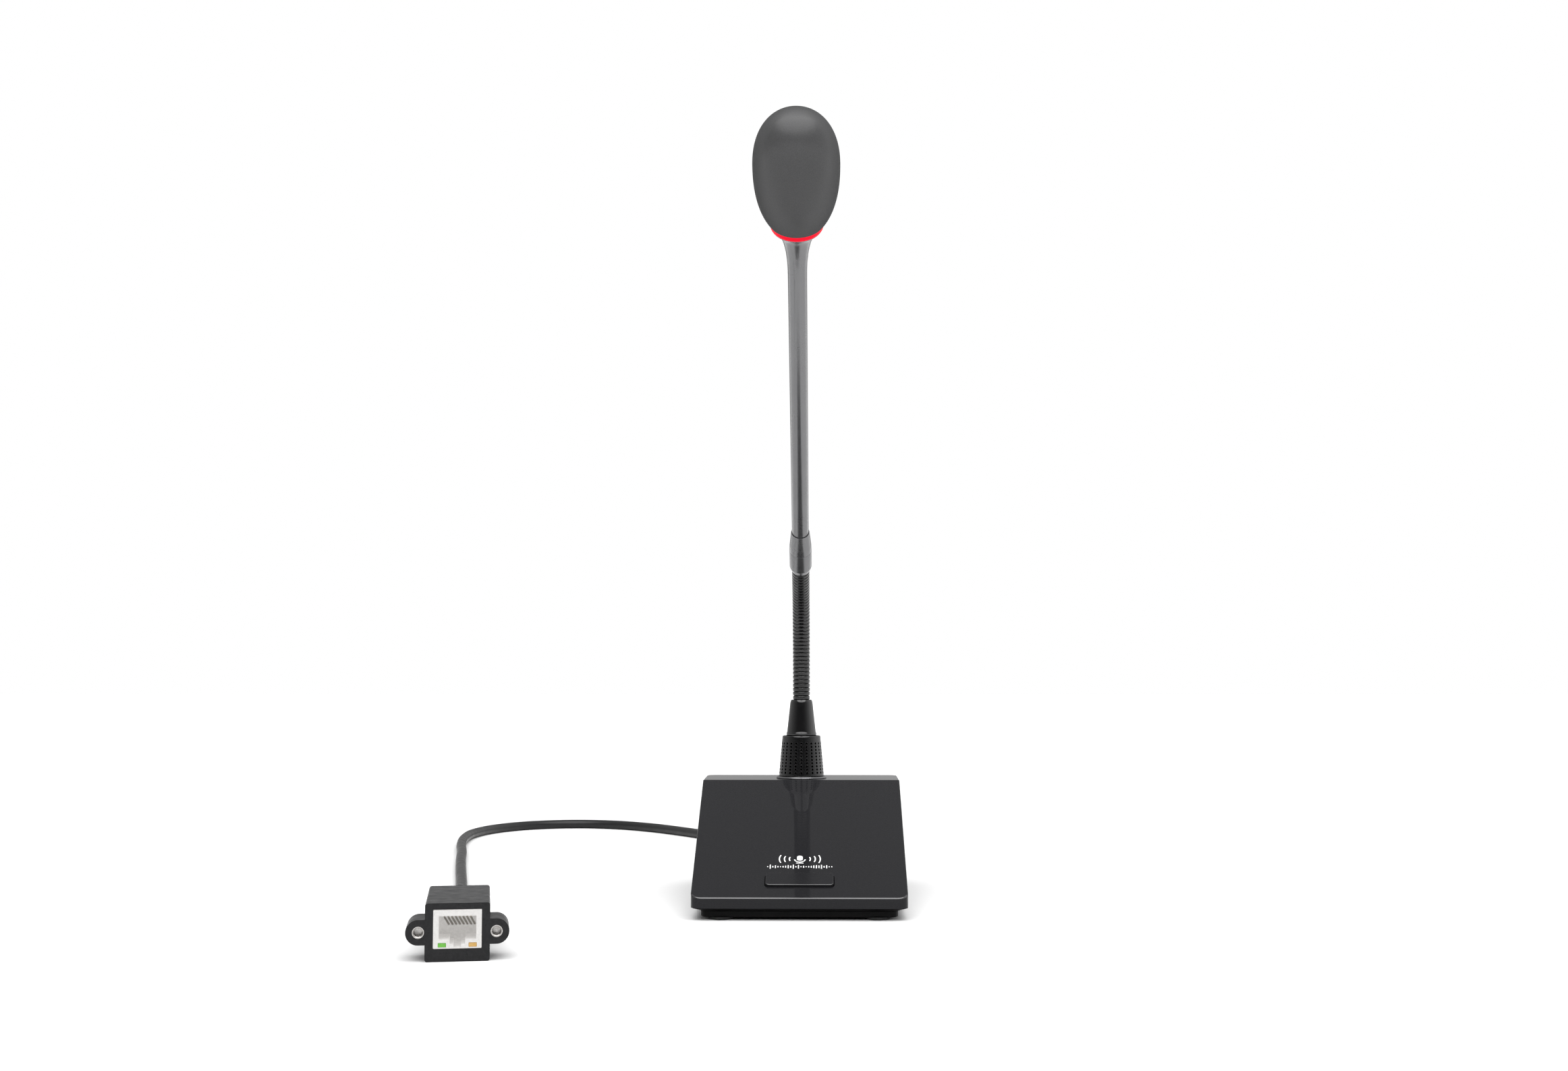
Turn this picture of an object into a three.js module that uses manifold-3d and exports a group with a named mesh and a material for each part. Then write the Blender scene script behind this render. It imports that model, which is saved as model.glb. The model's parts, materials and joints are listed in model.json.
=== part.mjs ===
// Gooseneck podium microphone with a network talk base, in millimetres, +Z up.
//
// The origin is on the surface that the base stands on, in the middle of the object's box.
// The talker sits towards -Y. X = 0 is the mirror plane of the base, the neck and the head.
// A wedge base holds a socket; the plug in it carries a flexible neck, a long rigid tube
// and a head with a light ring, a capsule and a foam windscreen. A network cable leaves the
// base at the rear, runs along the surface and ends in a panel-mount network connector.

import * as THREE from 'three';
import { mergeVertices } from 'three/addons/utils/BufferGeometryUtils.js';
import Module from 'manifold-3d';

const wasm = await Module();
wasm.setup();

// ---------------------------------------------------------------- driving dimensions

const GAP = 0.3; // air kept between pieces that touch

const FRONT_Y = -9.95; // front edge of the base
const FRONT_WIDTH = 84.2;
const REAR_WIDTH = 86.6;
const BASE_DEPTH = 129.9;
const PANEL_DEPTH = 92.5; // level run of the sloping panel
const LEDGE_HEIGHT = 48.5;
const FRONT_HEIGHT = 8.9;
const RIM_HEIGHT = 4.8; // lower rim of the cover
const WALL = 2.2;
const CORNER_RADIUS = 4;
const FOOT_HEIGHT = 0.9;
const PAN_BOTTOM = FOOT_HEIGHT + GAP;
const PAN_STEP = 3.5;
const PAN_TOP = RIM_HEIGHT - GAP;

const PANEL_TILT = Math.atan2(LEDGE_HEIGHT - FRONT_HEIGHT, PANEL_DEPTH);
const CEILING_DROP = WALL / Math.cos(PANEL_TILT); // panel thickness measured upright
const COLLAR_Y = FRONT_Y + PANEL_DEPTH + 15.3;

const NECK_BASE_Z = LEDGE_HEIGHT + 34.7; // top of the cone boot
const NECK_RADIUS = 3.65;
const NECK_STRAIGHT = 7.6; // length of neck before its bend
const NECK_BEND_LENGTH = 47;
const NECK_LENGTH = 66.8;
const HEAD_TILT = THREE.MathUtils.degToRad(52);
const FIRST_HINGE = 4.2; // along the neck from the top of the cone boot
const HINGE_STEP = 8.3;
const HINGE_COUNT = 8;
const BALL_RADIUS = 2.3;
const BALL_CLEARANCE = 0.3;
const SHOULDER_DROP = 1.5; // room below each ball centre for the next link to tilt

const TUBE_RADIUS = 3.55;
const TUBE_BORE = 2.8;
const RING_BASE = 188; // along the head axis from the end of the neck
const RING_TOP = 189.8;
const RING_RADIUS = 9.55;
const FOAM_BASE = 190.2;
const FOAM_WIDEST = 213.4;
const FOAM_TIP = 235.2;
const FOAM_RADIUS = 15.25;
const FOAM_MOUTH_RADIUS = 10.1;

const CONNECTOR_PLACE = [-112.75, -108.3];
const CONNECTOR_TURN = THREE.MathUtils.degToRad(10.33);
const CONNECTOR_WIDTH = 21.4;
const CONNECTOR_HEIGHT = 19.3;
const CONNECTOR_LENGTH = 49.5;
const CABLE_RADIUS = 2.58;

// Points that the network cable runs through, from the connector's boot to the base's gland.
const CABLE_ROUTE = [
  [-123.8, -47.7, 15.5],
  [-125.7, -38.0, 14.8],
  [-128.4, -24.0, 11.8],
  [-131.6, -8.0, 7.2],
  [-134.8, 9.0, 4.0],
  [-138.6, 30.0, 2.7],
  [-143.8, 58.0, 2.6],
  [-149.8, 89.0, 2.6],
  [-160.0, 140.0, 2.6],
  [-169.0, 186.0, 2.6],
  [-176.7, 227.9, 2.6],
  [-184.0, 264.0, 2.6],
  [-189.4, 300.0, 2.6],
  [-190.4, 332.0, 2.6],
  [-183.5, 362.0, 2.6],
  [-166.5, 386.0, 2.6],
  [-141.5, 396.6, 2.6],
  [-116.0, 391.5, 2.6],
  [-92.0, 373.0, 2.6],
  [-68.0, 343.0, 2.6],
  [-47.5, 312.0, 2.6],
  [-31.0, 280.0, 2.6],
  [-19.5, 248.0, 2.6],
  [-11.5, 218.0, 3.4],
  [-5.5, 192.0, 6.2],
  [-1.6, 168.0, 9.8],
  [-0.2, 152.0, 11.6],
  [0.0, 141.0, 12.0],
];

// ---------------------------------------------------------------- shared helpers

function surface(color, roughness, metalness) {
  return new THREE.MeshStandardMaterial({ color, roughness, metalness });
}

const BLACK_GLOSS = surface(0x2a2a2d, 0.12, 0.0);
const BLACK_PLASTIC = surface(0x1b1b1d, 0.55, 0.0);
const BLACK_METAL = surface(0x34353a, 0.35, 0.7);
const TUBE_METAL = surface(0x6e6f73, 0.3, 0.9);
const BRIGHT_METAL = surface(0xb9bbbe, 0.25, 1.0);
const STEEL = surface(0x8d9095, 0.4, 1.0);
const RUBBER = surface(0x151515, 0.9, 0.0);
const CABLE_JACKET = surface(0x3a3a3c, 0.6, 0.0);
const BOARD_GREEN = surface(0x1f5a34, 0.6, 0.1);
const WHITE_PLASTIC = surface(0xe9e8e6, 0.45, 0.0);
const CONTACT_GOLD = surface(0xc9a24e, 0.3, 1.0);
const RING_RED = surface(0xfd1335, 0.3, 0.0);
const LED_GREEN = surface(0x64be32, 0.3, 0.0);
const LED_AMBER = surface(0xd7a550, 0.3, 0.0);
const FOAM_GREY = surface(0x4c4c4e, 1.0, 0.0);

// Merges shared corners, drops flat triangles and turns the faces outwards.
function closedGeometry(source) {
  const plain = source.index ? source.toNonIndexed() : source.clone();
  plain.deleteAttribute('normal');
  plain.deleteAttribute('uv');
  const merged = mergeVertices(plain, 1e-5);
  const position = merged.attributes.position;
  const corners = [new THREE.Vector3(), new THREE.Vector3(), new THREE.Vector3()];
  const kept = [];
  let volume = 0;
  for (let i = 0; i < merged.index.count; i += 3) {
    const ids = [0, 1, 2].map((k) => merged.index.getX(i + k));
    if (ids[0] === ids[1] || ids[1] === ids[2] || ids[2] === ids[0]) {
      continue;
    }
    corners.forEach((corner, k) => corner.fromBufferAttribute(position, ids[k]));
    volume += corners[0].dot(corners[1].clone().cross(corners[2]));
    kept.push(...ids);
  }
  if (volume < 0) {
    for (let i = 0; i < kept.length; i += 3) {
      [kept[i], kept[i + 1]] = [kept[i + 1], kept[i]];
    }
  }
  merged.setIndex(kept);
  return merged;
}

function solidOf(geometry) {
  const closed = closedGeometry(geometry);
  const vertProperties = new Float32Array(closed.attributes.position.array);
  const triVerts = new Uint32Array(closed.index.array);
  return new wasm.Manifold(new wasm.Mesh({ numProp: 3, vertProperties, triVerts }));
}

function geometryOf(solid) {
  const mesh = solid.getMesh();
  const geometry = new THREE.BufferGeometry();
  geometry.setAttribute('position', new THREE.BufferAttribute(new Float32Array(mesh.vertProperties), 3));
  geometry.setIndex(new THREE.BufferAttribute(new Uint32Array(mesh.triVerts), 1));
  return geometry;
}

function cut(body, ...tools) {
  return geometryOf(tools.reduce((solid, tool) => solid.subtract(solidOf(tool)), solidOf(body)));
}

function join(body, ...others) {
  return geometryOf(others.reduce((solid, other) => solid.add(solidOf(other)), solidOf(body)));
}

function overlapOf(a, b) {
  return geometryOf(solidOf(a).intersect(solidOf(b)));
}

// A turned piece about +Z from [radius, height] pairs.
function turned(profile, segments = 24) {
  const points = profile.map(([radius, height]) => new THREE.Vector2(radius, height));
  return closedGeometry(new THREE.LatheGeometry(points, segments).rotateX(Math.PI / 2));
}

// A turned ring: the profile closes on itself.
function turnedRing(profile, segments = 24) {
  return turned([...profile, profile[0]], segments);
}

function cylinder(radius, bottom, top, segments = 24) {
  return turned([[0, bottom], [radius, bottom], [radius, top], [0, top]], segments);
}

function ring(inner, outer, bottom, top, segments = 24) {
  return turnedRing([[inner, bottom], [outer, bottom], [outer, top], [inner, top]], segments);
}

// Turns a piece made along +Z so that it lies along +Y.
function alongY(geometry) {
  return geometry.rotateX(-Math.PI / 2);
}

// A closed outline whose corners are rounded off.
function roundedOutline(points, radius, ShapeClass = THREE.Shape) {
  const outline = new ShapeClass();
  points.forEach((point, i) => {
    const corner = new THREE.Vector2(...point);
    const before = new THREE.Vector2(...points[(i + points.length - 1) % points.length]);
    const after = new THREE.Vector2(...points[(i + 1) % points.length]);
    const start = corner.clone().add(before.sub(corner).setLength(radius));
    const end = corner.clone().add(after.sub(corner).setLength(radius));
    if (i === 0) {
      outline.moveTo(start.x, start.y);
    } else {
      outline.lineTo(start.x, start.y);
    }
    outline.quadraticCurveTo(corner.x, corner.y, end.x, end.y);
  });
  outline.closePath();
  return outline;
}

function rectangle(x0, x1, y0, y1) {
  return [[x0, y0], [x1, y0], [x1, y1], [x0, y1]];
}

// An outline in the XY plane, extruded from one height to another.
function upright(outline, bottom, top, curveSegments = 3) {
  const geometry = new THREE.ExtrudeGeometry(outline, {
    depth: top - bottom,
    bevelEnabled: false,
    curveSegments,
  });
  return closedGeometry(geometry.translate(0, 0, bottom));
}

function block(x0, x1, y0, y1, z0, z1) {
  const shape = new THREE.Shape(rectangle(x0, x1, y0, y1).map((p) => new THREE.Vector2(...p)));
  return upright(shape, z0, z1);
}

// An outline in the YZ plane, extruded across X about the mirror plane.
function across(outline, width) {
  const shape = new THREE.Shape(outline.map((p) => new THREE.Vector2(...p)));
  const geometry = new THREE.ExtrudeGeometry(shape, { depth: width, bevelEnabled: false });
  geometry.translate(0, 0, -width / 2);
  const turn = new THREE.Matrix4().makeBasis(
    new THREE.Vector3(0, 1, 0),
    new THREE.Vector3(0, 0, 1),
    new THREE.Vector3(1, 0, 0),
  );
  return closedGeometry(geometry.applyMatrix4(turn));
}

// An outline in the XZ plane, extruded along +Y from one depth to another.
function lengthwise(outline, front, back, curveSegments = 4) {
  const geometry = new THREE.ExtrudeGeometry(outline, {
    depth: back - front,
    bevelEnabled: false,
    curveSegments,
  });
  return closedGeometry(geometry.rotateX(Math.PI / 2).translate(0, back, 0));
}

const microphone = new THREE.Group();

function add(parent, name, geometry, material) {
  const mesh = new THREE.Mesh(geometry, material);
  mesh.name = name;
  parent.add(mesh);
  return mesh;
}

function addGroup(parent, place, turn = [0, 0, 0]) {
  const group = new THREE.Group();
  group.position.set(...place);
  group.rotation.set(...turn);
  parent.add(group);
  return group;
}

// ---------------------------------------------------------------- base

const base = addGroup(microphone, [0, FRONT_Y, 0]);

// Plan of the base, drawn in by one distance at the sides and rear and another at the front.
function basePlan(sideInset, frontInset, radius) {
  const front = FRONT_WIDTH / 2 - sideInset;
  const rear = REAR_WIDTH / 2 - sideInset;
  const back = BASE_DEPTH - sideInset;
  return roundedOutline([[-front, frontInset], [front, frontInset], [rear, back], [-rear, back]], radius);
}

function panelHeight(y) {
  return FRONT_HEIGHT + y * Math.tan(PANEL_TILT);
}

const SCREW_POSTS = [[-33, 20], [33, 20], [-35, 118], [35, 118]];
const BOARD_POSTS = [[-28, 52], [28, 52], [-28, 112], [28, 112]];
const SOCKET_AT = COLLAR_Y - FRONT_Y;
const GLAND_HEIGHT = 12;

const BUTTON_FRONT = 8.4; // along the panel from its front edge
const BUTTON_BACK = 17.6;
const BUTTON_HALF = 13.35;
const BUTTON_PROUD = 1.1;
const BUTTON_CLEARANCE = 0.35;

function buttonOutline(grow) {
  const sides = rectangle(-BUTTON_HALF - grow, BUTTON_HALF + grow, BUTTON_FRONT - grow, BUTTON_BACK + grow);
  return roundedOutline(sides, 1.1);
}

function onPanel(geometry) {
  return geometry.rotateX(PANEL_TILT).translate(0, 0, FRONT_HEIGHT);
}

function makeCover() {
  const overrun = 2;
  const outerSide = [
    [-overrun, RIM_HEIGHT],
    [BASE_DEPTH + overrun, RIM_HEIGHT],
    [BASE_DEPTH + overrun, LEDGE_HEIGHT],
    [PANEL_DEPTH, LEDGE_HEIGHT],
    [-overrun, panelHeight(-overrun)],
  ];
  const ceiling = LEDGE_HEIGHT - WALL;
  const ceilingStart = (ceiling + CEILING_DROP - FRONT_HEIGHT) / Math.tan(PANEL_TILT);
  const innerSide = [
    [WALL, RIM_HEIGHT - overrun],
    [BASE_DEPTH - WALL, RIM_HEIGHT - overrun],
    [BASE_DEPTH - WALL, ceiling],
    [ceilingStart, ceiling],
    [WALL, panelHeight(WALL) - CEILING_DROP],
  ];
  const fullHeight = LEDGE_HEIGHT + overrun;
  const outer = overlapOf(across(outerSide, 2 * REAR_WIDTH), upright(basePlan(0, 0, CORNER_RADIUS), 0, fullHeight));
  const inner = overlapOf(across(innerSide, 2 * REAR_WIDTH), upright(basePlan(WALL, WALL, 2), 0, fullHeight));
  const posts = SCREW_POSTS.map(([x, y]) =>
    overlapOf(outer, cylinder(3.4, RIM_HEIGHT + GAP, fullHeight, 12).translate(x, y, 0)),
  );
  const bores = SCREW_POSTS.map(([x, y]) => cylinder(1.7, 0, 11.5, 12).translate(x, y, 0));
  const buttonHole = onPanel(upright(buttonOutline(BUTTON_CLEARANCE), -6, 4));
  const socketHole = cylinder(9.1, LEDGE_HEIGHT - 6, LEDGE_HEIGHT + 3).translate(0, SOCKET_AT, 0);
  const glandHole = alongY(cylinder(3.5, -6, 4, 16)).translate(0, BASE_DEPTH, GLAND_HEIGHT);
  const shell = cut(outer, inner);
  return cut(join(shell, ...posts), ...bores, buttonHole, socketHole, glandHole);
}

function makePan() {
  const lower = upright(basePlan(3.7, 2.2, 3), PAN_BOTTOM, PAN_STEP + 0.1);
  const upper = upright(basePlan(1.2, 1.2, 3.2), PAN_STEP, PAN_TOP);
  const posts = BOARD_POSTS.map(([x, y]) => cylinder(2.8, PAN_STEP, 15.7, 12).translate(x, y, 0));
  const postBores = BOARD_POSTS.map(([x, y]) => cylinder(1.5, 9, 17, 12).translate(x, y, 0));
  const screwHoles = SCREW_POSTS.map(([x, y]) => cylinder(1.7, 0, 6, 12).translate(x, y, 0));
  const headRecesses = SCREW_POSTS.map(([x, y]) => cylinder(3.1, 0, 2.7, 12).translate(x, y, 0));
  return cut(join(lower, upper, ...posts), ...postBores, ...screwHoles, ...headRecesses);
}

function makeMainBoard() {
  const outline = roundedOutline(rectangle(-32, 32, 46, 118), 2);
  for (const [x, y] of BOARD_POSTS) {
    outline.holes.push(new THREE.Path().absarc(x, y, 1.6, 0, 2 * Math.PI));
  }
  return upright(outline, 16, 17.6);
}

function makeSocket() {
  const cup = turnedRing(
    [[8.1, 48.2], [8.1, 27], [5.6, 27], [5.6, 24], [8.8, 24], [8.8, 41.5], [10.4, 42.5], [10.4, 46], [8.8, 46], [8.8, 48.2]],
  );
  const centre = cylinder(5.9, 24.5, 38);
  const holes = PIN_PLACES.map(([x, y]) => cylinder(1.6, 26, 40, 10).translate(x, y, 0));
  return cut(join(cup, centre), ...holes);
}

const PIN_PLACES = [90, 210, 330].map((degrees) => {
  const angle = THREE.MathUtils.degToRad(degrees);
  return [3.2 * Math.cos(angle), 3.2 * Math.sin(angle)];
});

add(base, 'top_cover', makeCover(), BLACK_GLOSS);
add(base, 'bottom_pan', makePan(), BLACK_PLASTIC);
add(base, 'ballast_plate', upright(roundedOutline(rectangle(-23, 23, 30, 116), 3), RIM_HEIGHT, 12), STEEL);
add(base, 'main_board', makeMainBoard(), BOARD_GREEN);
add(base, 'network_transformer', block(-24, -8, 66, 80, 17.9, 24), BLACK_PLASTIC);
add(base, 'processor_shield', block(2, 24, 60, 82, 17.9, 21), BRIGHT_METAL);
[-18, -7].forEach((x, i) => {
  add(base, `capacitor_${i + 1}`, cylinder(4, 17.9, 28, 16).translate(x, 88, 0), BRIGHT_METAL);
});
BOARD_POSTS.forEach(([x, y], i) => {
  const screw = turned([[0, 11], [1.2, 11], [1.2, 17.9], [2.5, 17.9], [2.5, 19], [1.6, 19.5], [0, 19.5]], 12);
  add(base, `board_screw_${i + 1}`, screw.translate(x, y, 0), STEEL);
});
SCREW_POSTS.forEach(([x, y], i) => {
  const screw = turned([[0, 1.4], [2.7, 1.4], [2.7, 2.4], [1.3, 2.4], [1.3, 10.5], [0, 10.5]], 12);
  add(base, `base_screw_${i + 1}`, screw.translate(x, y, 0), STEEL);
});
[[-30.5, 7.4], [30.5, 7.4], [-31.5, 121], [31.5, 121]].forEach(([x, y], i) => {
  const foot = turned([[0, 0], [4.2, 0], [4.85, 0.4], [4.85, FOOT_HEIGHT], [0, FOOT_HEIGHT]], 20);
  add(base, `foot_${i + 1}`, foot.translate(x, y, 0), RUBBER);
});

const panel = addGroup(base, [0, 0, FRONT_HEIGHT], [PANEL_TILT, 0, 0]);
const buttonCap = upright(buttonOutline(0), -2.7, BUTTON_PROUD);
const buttonLip = upright(buttonOutline(1.2), -3.4, -2.6);
const SWITCH_MIDDLE = (BUTTON_FRONT + BUTTON_BACK) / 2;
add(panel, 'talk_button', join(buttonCap, buttonLip), BLACK_PLASTIC);
add(panel, 'switch_body', block(-3, 3, SWITCH_MIDDLE - 3, SWITCH_MIDDLE + 3, -6.1, -4.5), BLACK_PLASTIC);
add(panel, 'switch_board', block(-10, 10, SWITCH_MIDDLE - 4.6, SWITCH_MIDDLE + 4.6, -7.6, -6.4), BOARD_GREEN);

const socket = addGroup(base, [0, SOCKET_AT, 0]);
add(socket, 'mic_socket', makeSocket(), BLACK_PLASTIC);
const bezelProfile = [[9.2, 48.8], [11.1, 48.8], [11.15, 49.3], [10.8, 49.7], [9.2, 49.7]];
add(socket, 'socket_bezel', turnedRing(bezelProfile, 32), BRIGHT_METAL);

// ---------------------------------------------------------------- plug and cone boot

const plug = addGroup(microphone, [0, COLLAR_Y, 0]);

function makeGripCollar() {
  return turnedRing(
    [
      [7.1, 28.5],
      [7.9, 28.5],
      [7.9, 50],
      [10.05, 50],
      [10.08, 50.4],
      [8.6, 66.7],
      [8.1, 67.3],
      [6.9, 67.3],
      [6.9, 50.2],
      [7.1, 50.2],
    ],
    32,
  );
}

function makePlugInsert() {
  const holes = PIN_PLACES.map(([x, y]) => cylinder(1.5, 42, 52, 10).translate(x, y, 0));
  return cut(cylinder(6.7, 44, 50), ...holes);
}

function makeConeBoot() {
  return turnedRing(
    [
      [4.05, 57],
      [6.5, 57],
      [6.5, 67.6],
      [6.75, 68.1],
      [6.4, 69.2],
      [4.95, 82.4],
      [4.6, NECK_BASE_Z],
      [4.05, NECK_BASE_Z],
    ],
    24,
  );
}

add(plug, 'grip_collar', makeGripCollar(), BLACK_METAL);
add(plug, 'plug_insert', makePlugInsert(), BLACK_PLASTIC);
PIN_PLACES.forEach(([x, y], i) => {
  add(plug, `plug_pin_${i + 1}`, cylinder(1.2, 30, 49, 10).translate(x, y, 0), BRIGHT_METAL);
});
add(plug, 'cone_boot', makeConeBoot(), BLACK_METAL);

// ---------------------------------------------------------------- flexible neck

const BEND_RADIUS = NECK_BEND_LENGTH / HEAD_TILT;

// Place and forward tilt of the neck's centre line at a distance along it.
function neckAt(distance) {
  const bent = THREE.MathUtils.clamp(distance - NECK_STRAIGHT, 0, NECK_BEND_LENGTH);
  const after = Math.max(0, distance - NECK_STRAIGHT - NECK_BEND_LENGTH);
  const tilt = bent / BEND_RADIUS;
  return {
    y: COLLAR_Y - BEND_RADIUS * (1 - Math.cos(tilt)) - after * Math.sin(tilt),
    z: NECK_BASE_Z + Math.min(distance, NECK_STRAIGHT) + BEND_RADIUS * Math.sin(tilt) + after * Math.cos(tilt),
    tilt,
  };
}

// Outline of a ball of the given radius, from its neck up to its tip.
function ballProfile(centre, neckRadius) {
  const steps = 6;
  const start = -Math.acos(neckRadius / BALL_RADIUS);
  return Array.from({ length: steps + 1 }, (_, i) => {
    const angle = start + ((Math.PI / 2 - start) * i) / steps;
    return [i === steps ? 0 : BALL_RADIUS * Math.cos(angle), centre + BALL_RADIUS * Math.sin(angle)];
  });
}

// Outline of the socket in the lower end of a link, from the axis out to the rim.
function socketProfile() {
  const radius = BALL_RADIUS + BALL_CLEARANCE;
  const steps = 5;
  return Array.from({ length: steps + 1 }, (_, i) => {
    const angle = (Math.PI / 2) * (1 - i / steps);
    return [i === 0 ? 0 : radius * Math.cos(angle), radius * Math.sin(angle)];
  });
}

const NECK_SIDES = 12;
const BALL_NECK = 1.7;

function makeLink(length) {
  const shoulder = length - SHOULDER_DROP;
  return turned(
    [
      ...socketProfile(),
      [NECK_RADIUS - 0.2, 0],
      [NECK_RADIUS, 0.4],
      [NECK_RADIUS, shoulder - 0.4],
      [NECK_RADIUS - 0.6, shoulder],
      [BALL_NECK, shoulder],
      ...ballProfile(length, BALL_NECK),
    ],
    NECK_SIDES,
  );
}

function makeNeckRoot(bottom, ballCentre) {
  const shoulder = ballCentre - SHOULDER_DROP;
  return turned(
    [
      [0, bottom],
      [NECK_RADIUS, bottom],
      [NECK_RADIUS, shoulder - 0.4],
      [NECK_RADIUS - 0.6, shoulder],
      [BALL_NECK, shoulder],
      ...ballProfile(ballCentre, BALL_NECK),
    ],
    NECK_SIDES,
  );
}

function makeNeckTip(barrel, spigot) {
  return turned(
    [
      ...socketProfile(),
      [NECK_RADIUS - 0.2, 0],
      [NECK_RADIUS, 0.4],
      [NECK_RADIUS, barrel],
      [3, barrel],
      [3, spigot],
      [0, spigot],
    ],
    NECK_SIDES,
  );
}

const hinges = Array.from({ length: HINGE_COUNT }, (_, i) => neckAt(FIRST_HINGE + HINGE_STEP * i));

add(plug, 'neck_root', makeNeckRoot(NECK_BASE_Z - 22, hinges[0].z), BLACK_METAL);
for (let i = 1; i < HINGE_COUNT; i += 1) {
  const low = hinges[i - 1];
  const high = hinges[i];
  const length = Math.hypot(high.y - low.y, high.z - low.z);
  const tilt = Math.atan2(low.y - high.y, high.z - low.z);
  const link = addGroup(microphone, [0, low.y, low.z], [tilt, 0, 0]);
  add(link, `neck_link_${i}`, makeLink(length), BLACK_METAL);
}

// ---------------------------------------------------------------- rigid tube and head

const neckEnd = neckAt(NECK_LENGTH);
const head = addGroup(microphone, [0, neckEnd.y, neckEnd.z], [HEAD_TILT, 0, 0]);
const LAST_HINGE = FIRST_HINGE + HINGE_STEP * (HINGE_COUNT - 1) - NECK_LENGTH;

const neckTip = makeNeckTip(-LAST_HINGE - 0.5, 8.6 - LAST_HINGE);
add(head, 'neck_tip', neckTip.translate(0, 0, LAST_HINGE), BLACK_METAL);

const ferruleLower = [[3.35, -0.2], [3.66, -0.2], [4.7, 2.9], [4.7, 13.7], [3.35, 13.7]];
const ferruleUpper = [[3.85, 14], [4.68, 14], [4.6, 17.3], [4.05, 25.2], [3.85, 25.2]];
add(head, 'ferrule_lower', turnedRing(ferruleLower), TUBE_METAL);
add(head, 'ferrule_upper', turnedRing(ferruleUpper), TUBE_METAL);

function makeUpperTube() {
  return turnedRing([
    [TUBE_BORE, 14.1],
    [TUBE_RADIUS, 14.1],
    [TUBE_RADIUS, 166],
    [3.68, 171],
    [4.12, 176],
    [5.1, 181],
    [6.4, 185],
    [7.7, 186.8],
    [9.1, 187.7],
    [5.8, 187.7],
    [5.8, 183],
    [TUBE_BORE, 183],
  ]);
}

add(head, 'upper_tube', makeUpperTube(), TUBE_METAL);
add(head, 'light_ring', ring(7.4, RING_RADIUS, RING_BASE, RING_TOP, 32), RING_RED);
add(head, 'ring_board', ring(5.9, 7.1, RING_BASE, RING_TOP - 0.6), BOARD_GREEN);
add(head, 'capsule_holder', ring(4.4, 5.45, 183.3, 199), BLACK_PLASTIC);
add(head, 'capsule', cylinder(4.1, 190, 199.6), BRIGHT_METAL);
add(head, 'capsule_grille', cylinder(5.2, 199.9, 201), STEEL);

// The foam is egg shaped and hollow, so that it slips over the capsule holder.
function makeWindscreen() {
  const low = 2.25; // roundness below the widest place
  const high = 2.31; // and above it
  const steps = 9;
  const cavityRadius = 6.2;
  const cavityTop = 203;
  const outer = [];
  for (let i = 0; i <= steps; i += 1) {
    const drop = 1 - i / steps;
    const share = 1 - (1 - (FOAM_MOUTH_RADIUS / FOAM_RADIUS) ** low) * drop ** low;
    outer.push([FOAM_RADIUS * share ** (1 / low), FOAM_WIDEST - (FOAM_WIDEST - FOAM_BASE) * drop]);
  }
  for (let i = 1; i <= steps; i += 1) {
    const angle = ((Math.PI / 2) * i) / steps;
    const rise = Math.sin(angle) ** (2 / high);
    const radius = i === steps ? 0 : FOAM_RADIUS * Math.cos(angle) ** (2 / high);
    outer.push([radius, FOAM_WIDEST + (FOAM_TIP - FOAM_WIDEST) * rise]);
  }
  return turned([[0, cavityTop], [cavityRadius, cavityTop], [cavityRadius, FOAM_BASE], ...outer]);
}

add(head, 'windscreen', makeWindscreen(), FOAM_GREY);

// ---------------------------------------------------------------- cable and connector

const connector = addGroup(microphone, [...CONNECTOR_PLACE, 0], [0, 0, CONNECTOR_TURN]);
const EAR_X = 12.9;
const EAR_Z = 9.75;
const EAR_RADIUS = 4.2;
const EAR_DEPTH = 16;
const JACK_HALF = 8;
const JACK_LOW = 4.3;
const JACK_HIGH = 17.1;
const JACK_DEPTH = 15.5;
const LED_X = 5.05;
const BOOT_HEIGHT = 15.5;

function makeHousing() {
  const half = CONNECTOR_WIDTH / 2;
  const body = lengthwise(roundedOutline(rectangle(-half, half, 0, CONNECTOR_HEIGHT), 0.8), 0, CONNECTOR_LENGTH);
  const earOutline = new THREE.Shape();
  earOutline.absarc(-EAR_X, EAR_Z, EAR_RADIUS, Math.PI / 2, (3 * Math.PI) / 2);
  earOutline.absarc(EAR_X, EAR_Z, EAR_RADIUS, -Math.PI / 2, Math.PI / 2);
  const ears = lengthwise(earOutline, 0, EAR_DEPTH, 6);
  const pocketSides = rectangle(-JACK_HALF - GAP, JACK_HALF + GAP, JACK_LOW - GAP, JACK_HIGH + GAP);
  const pocket = lengthwise(new THREE.Shape(pocketSides.map((p) => new THREE.Vector2(...p))), -2, JACK_DEPTH + GAP);
  const holes = [-EAR_X, EAR_X].map((x) => alongY(cylinder(2.15, -2, EAR_DEPTH + 2, 16)).translate(x, 0, EAR_Z));
  return cut(join(body, ears), pocket, ...holes);
}

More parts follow.
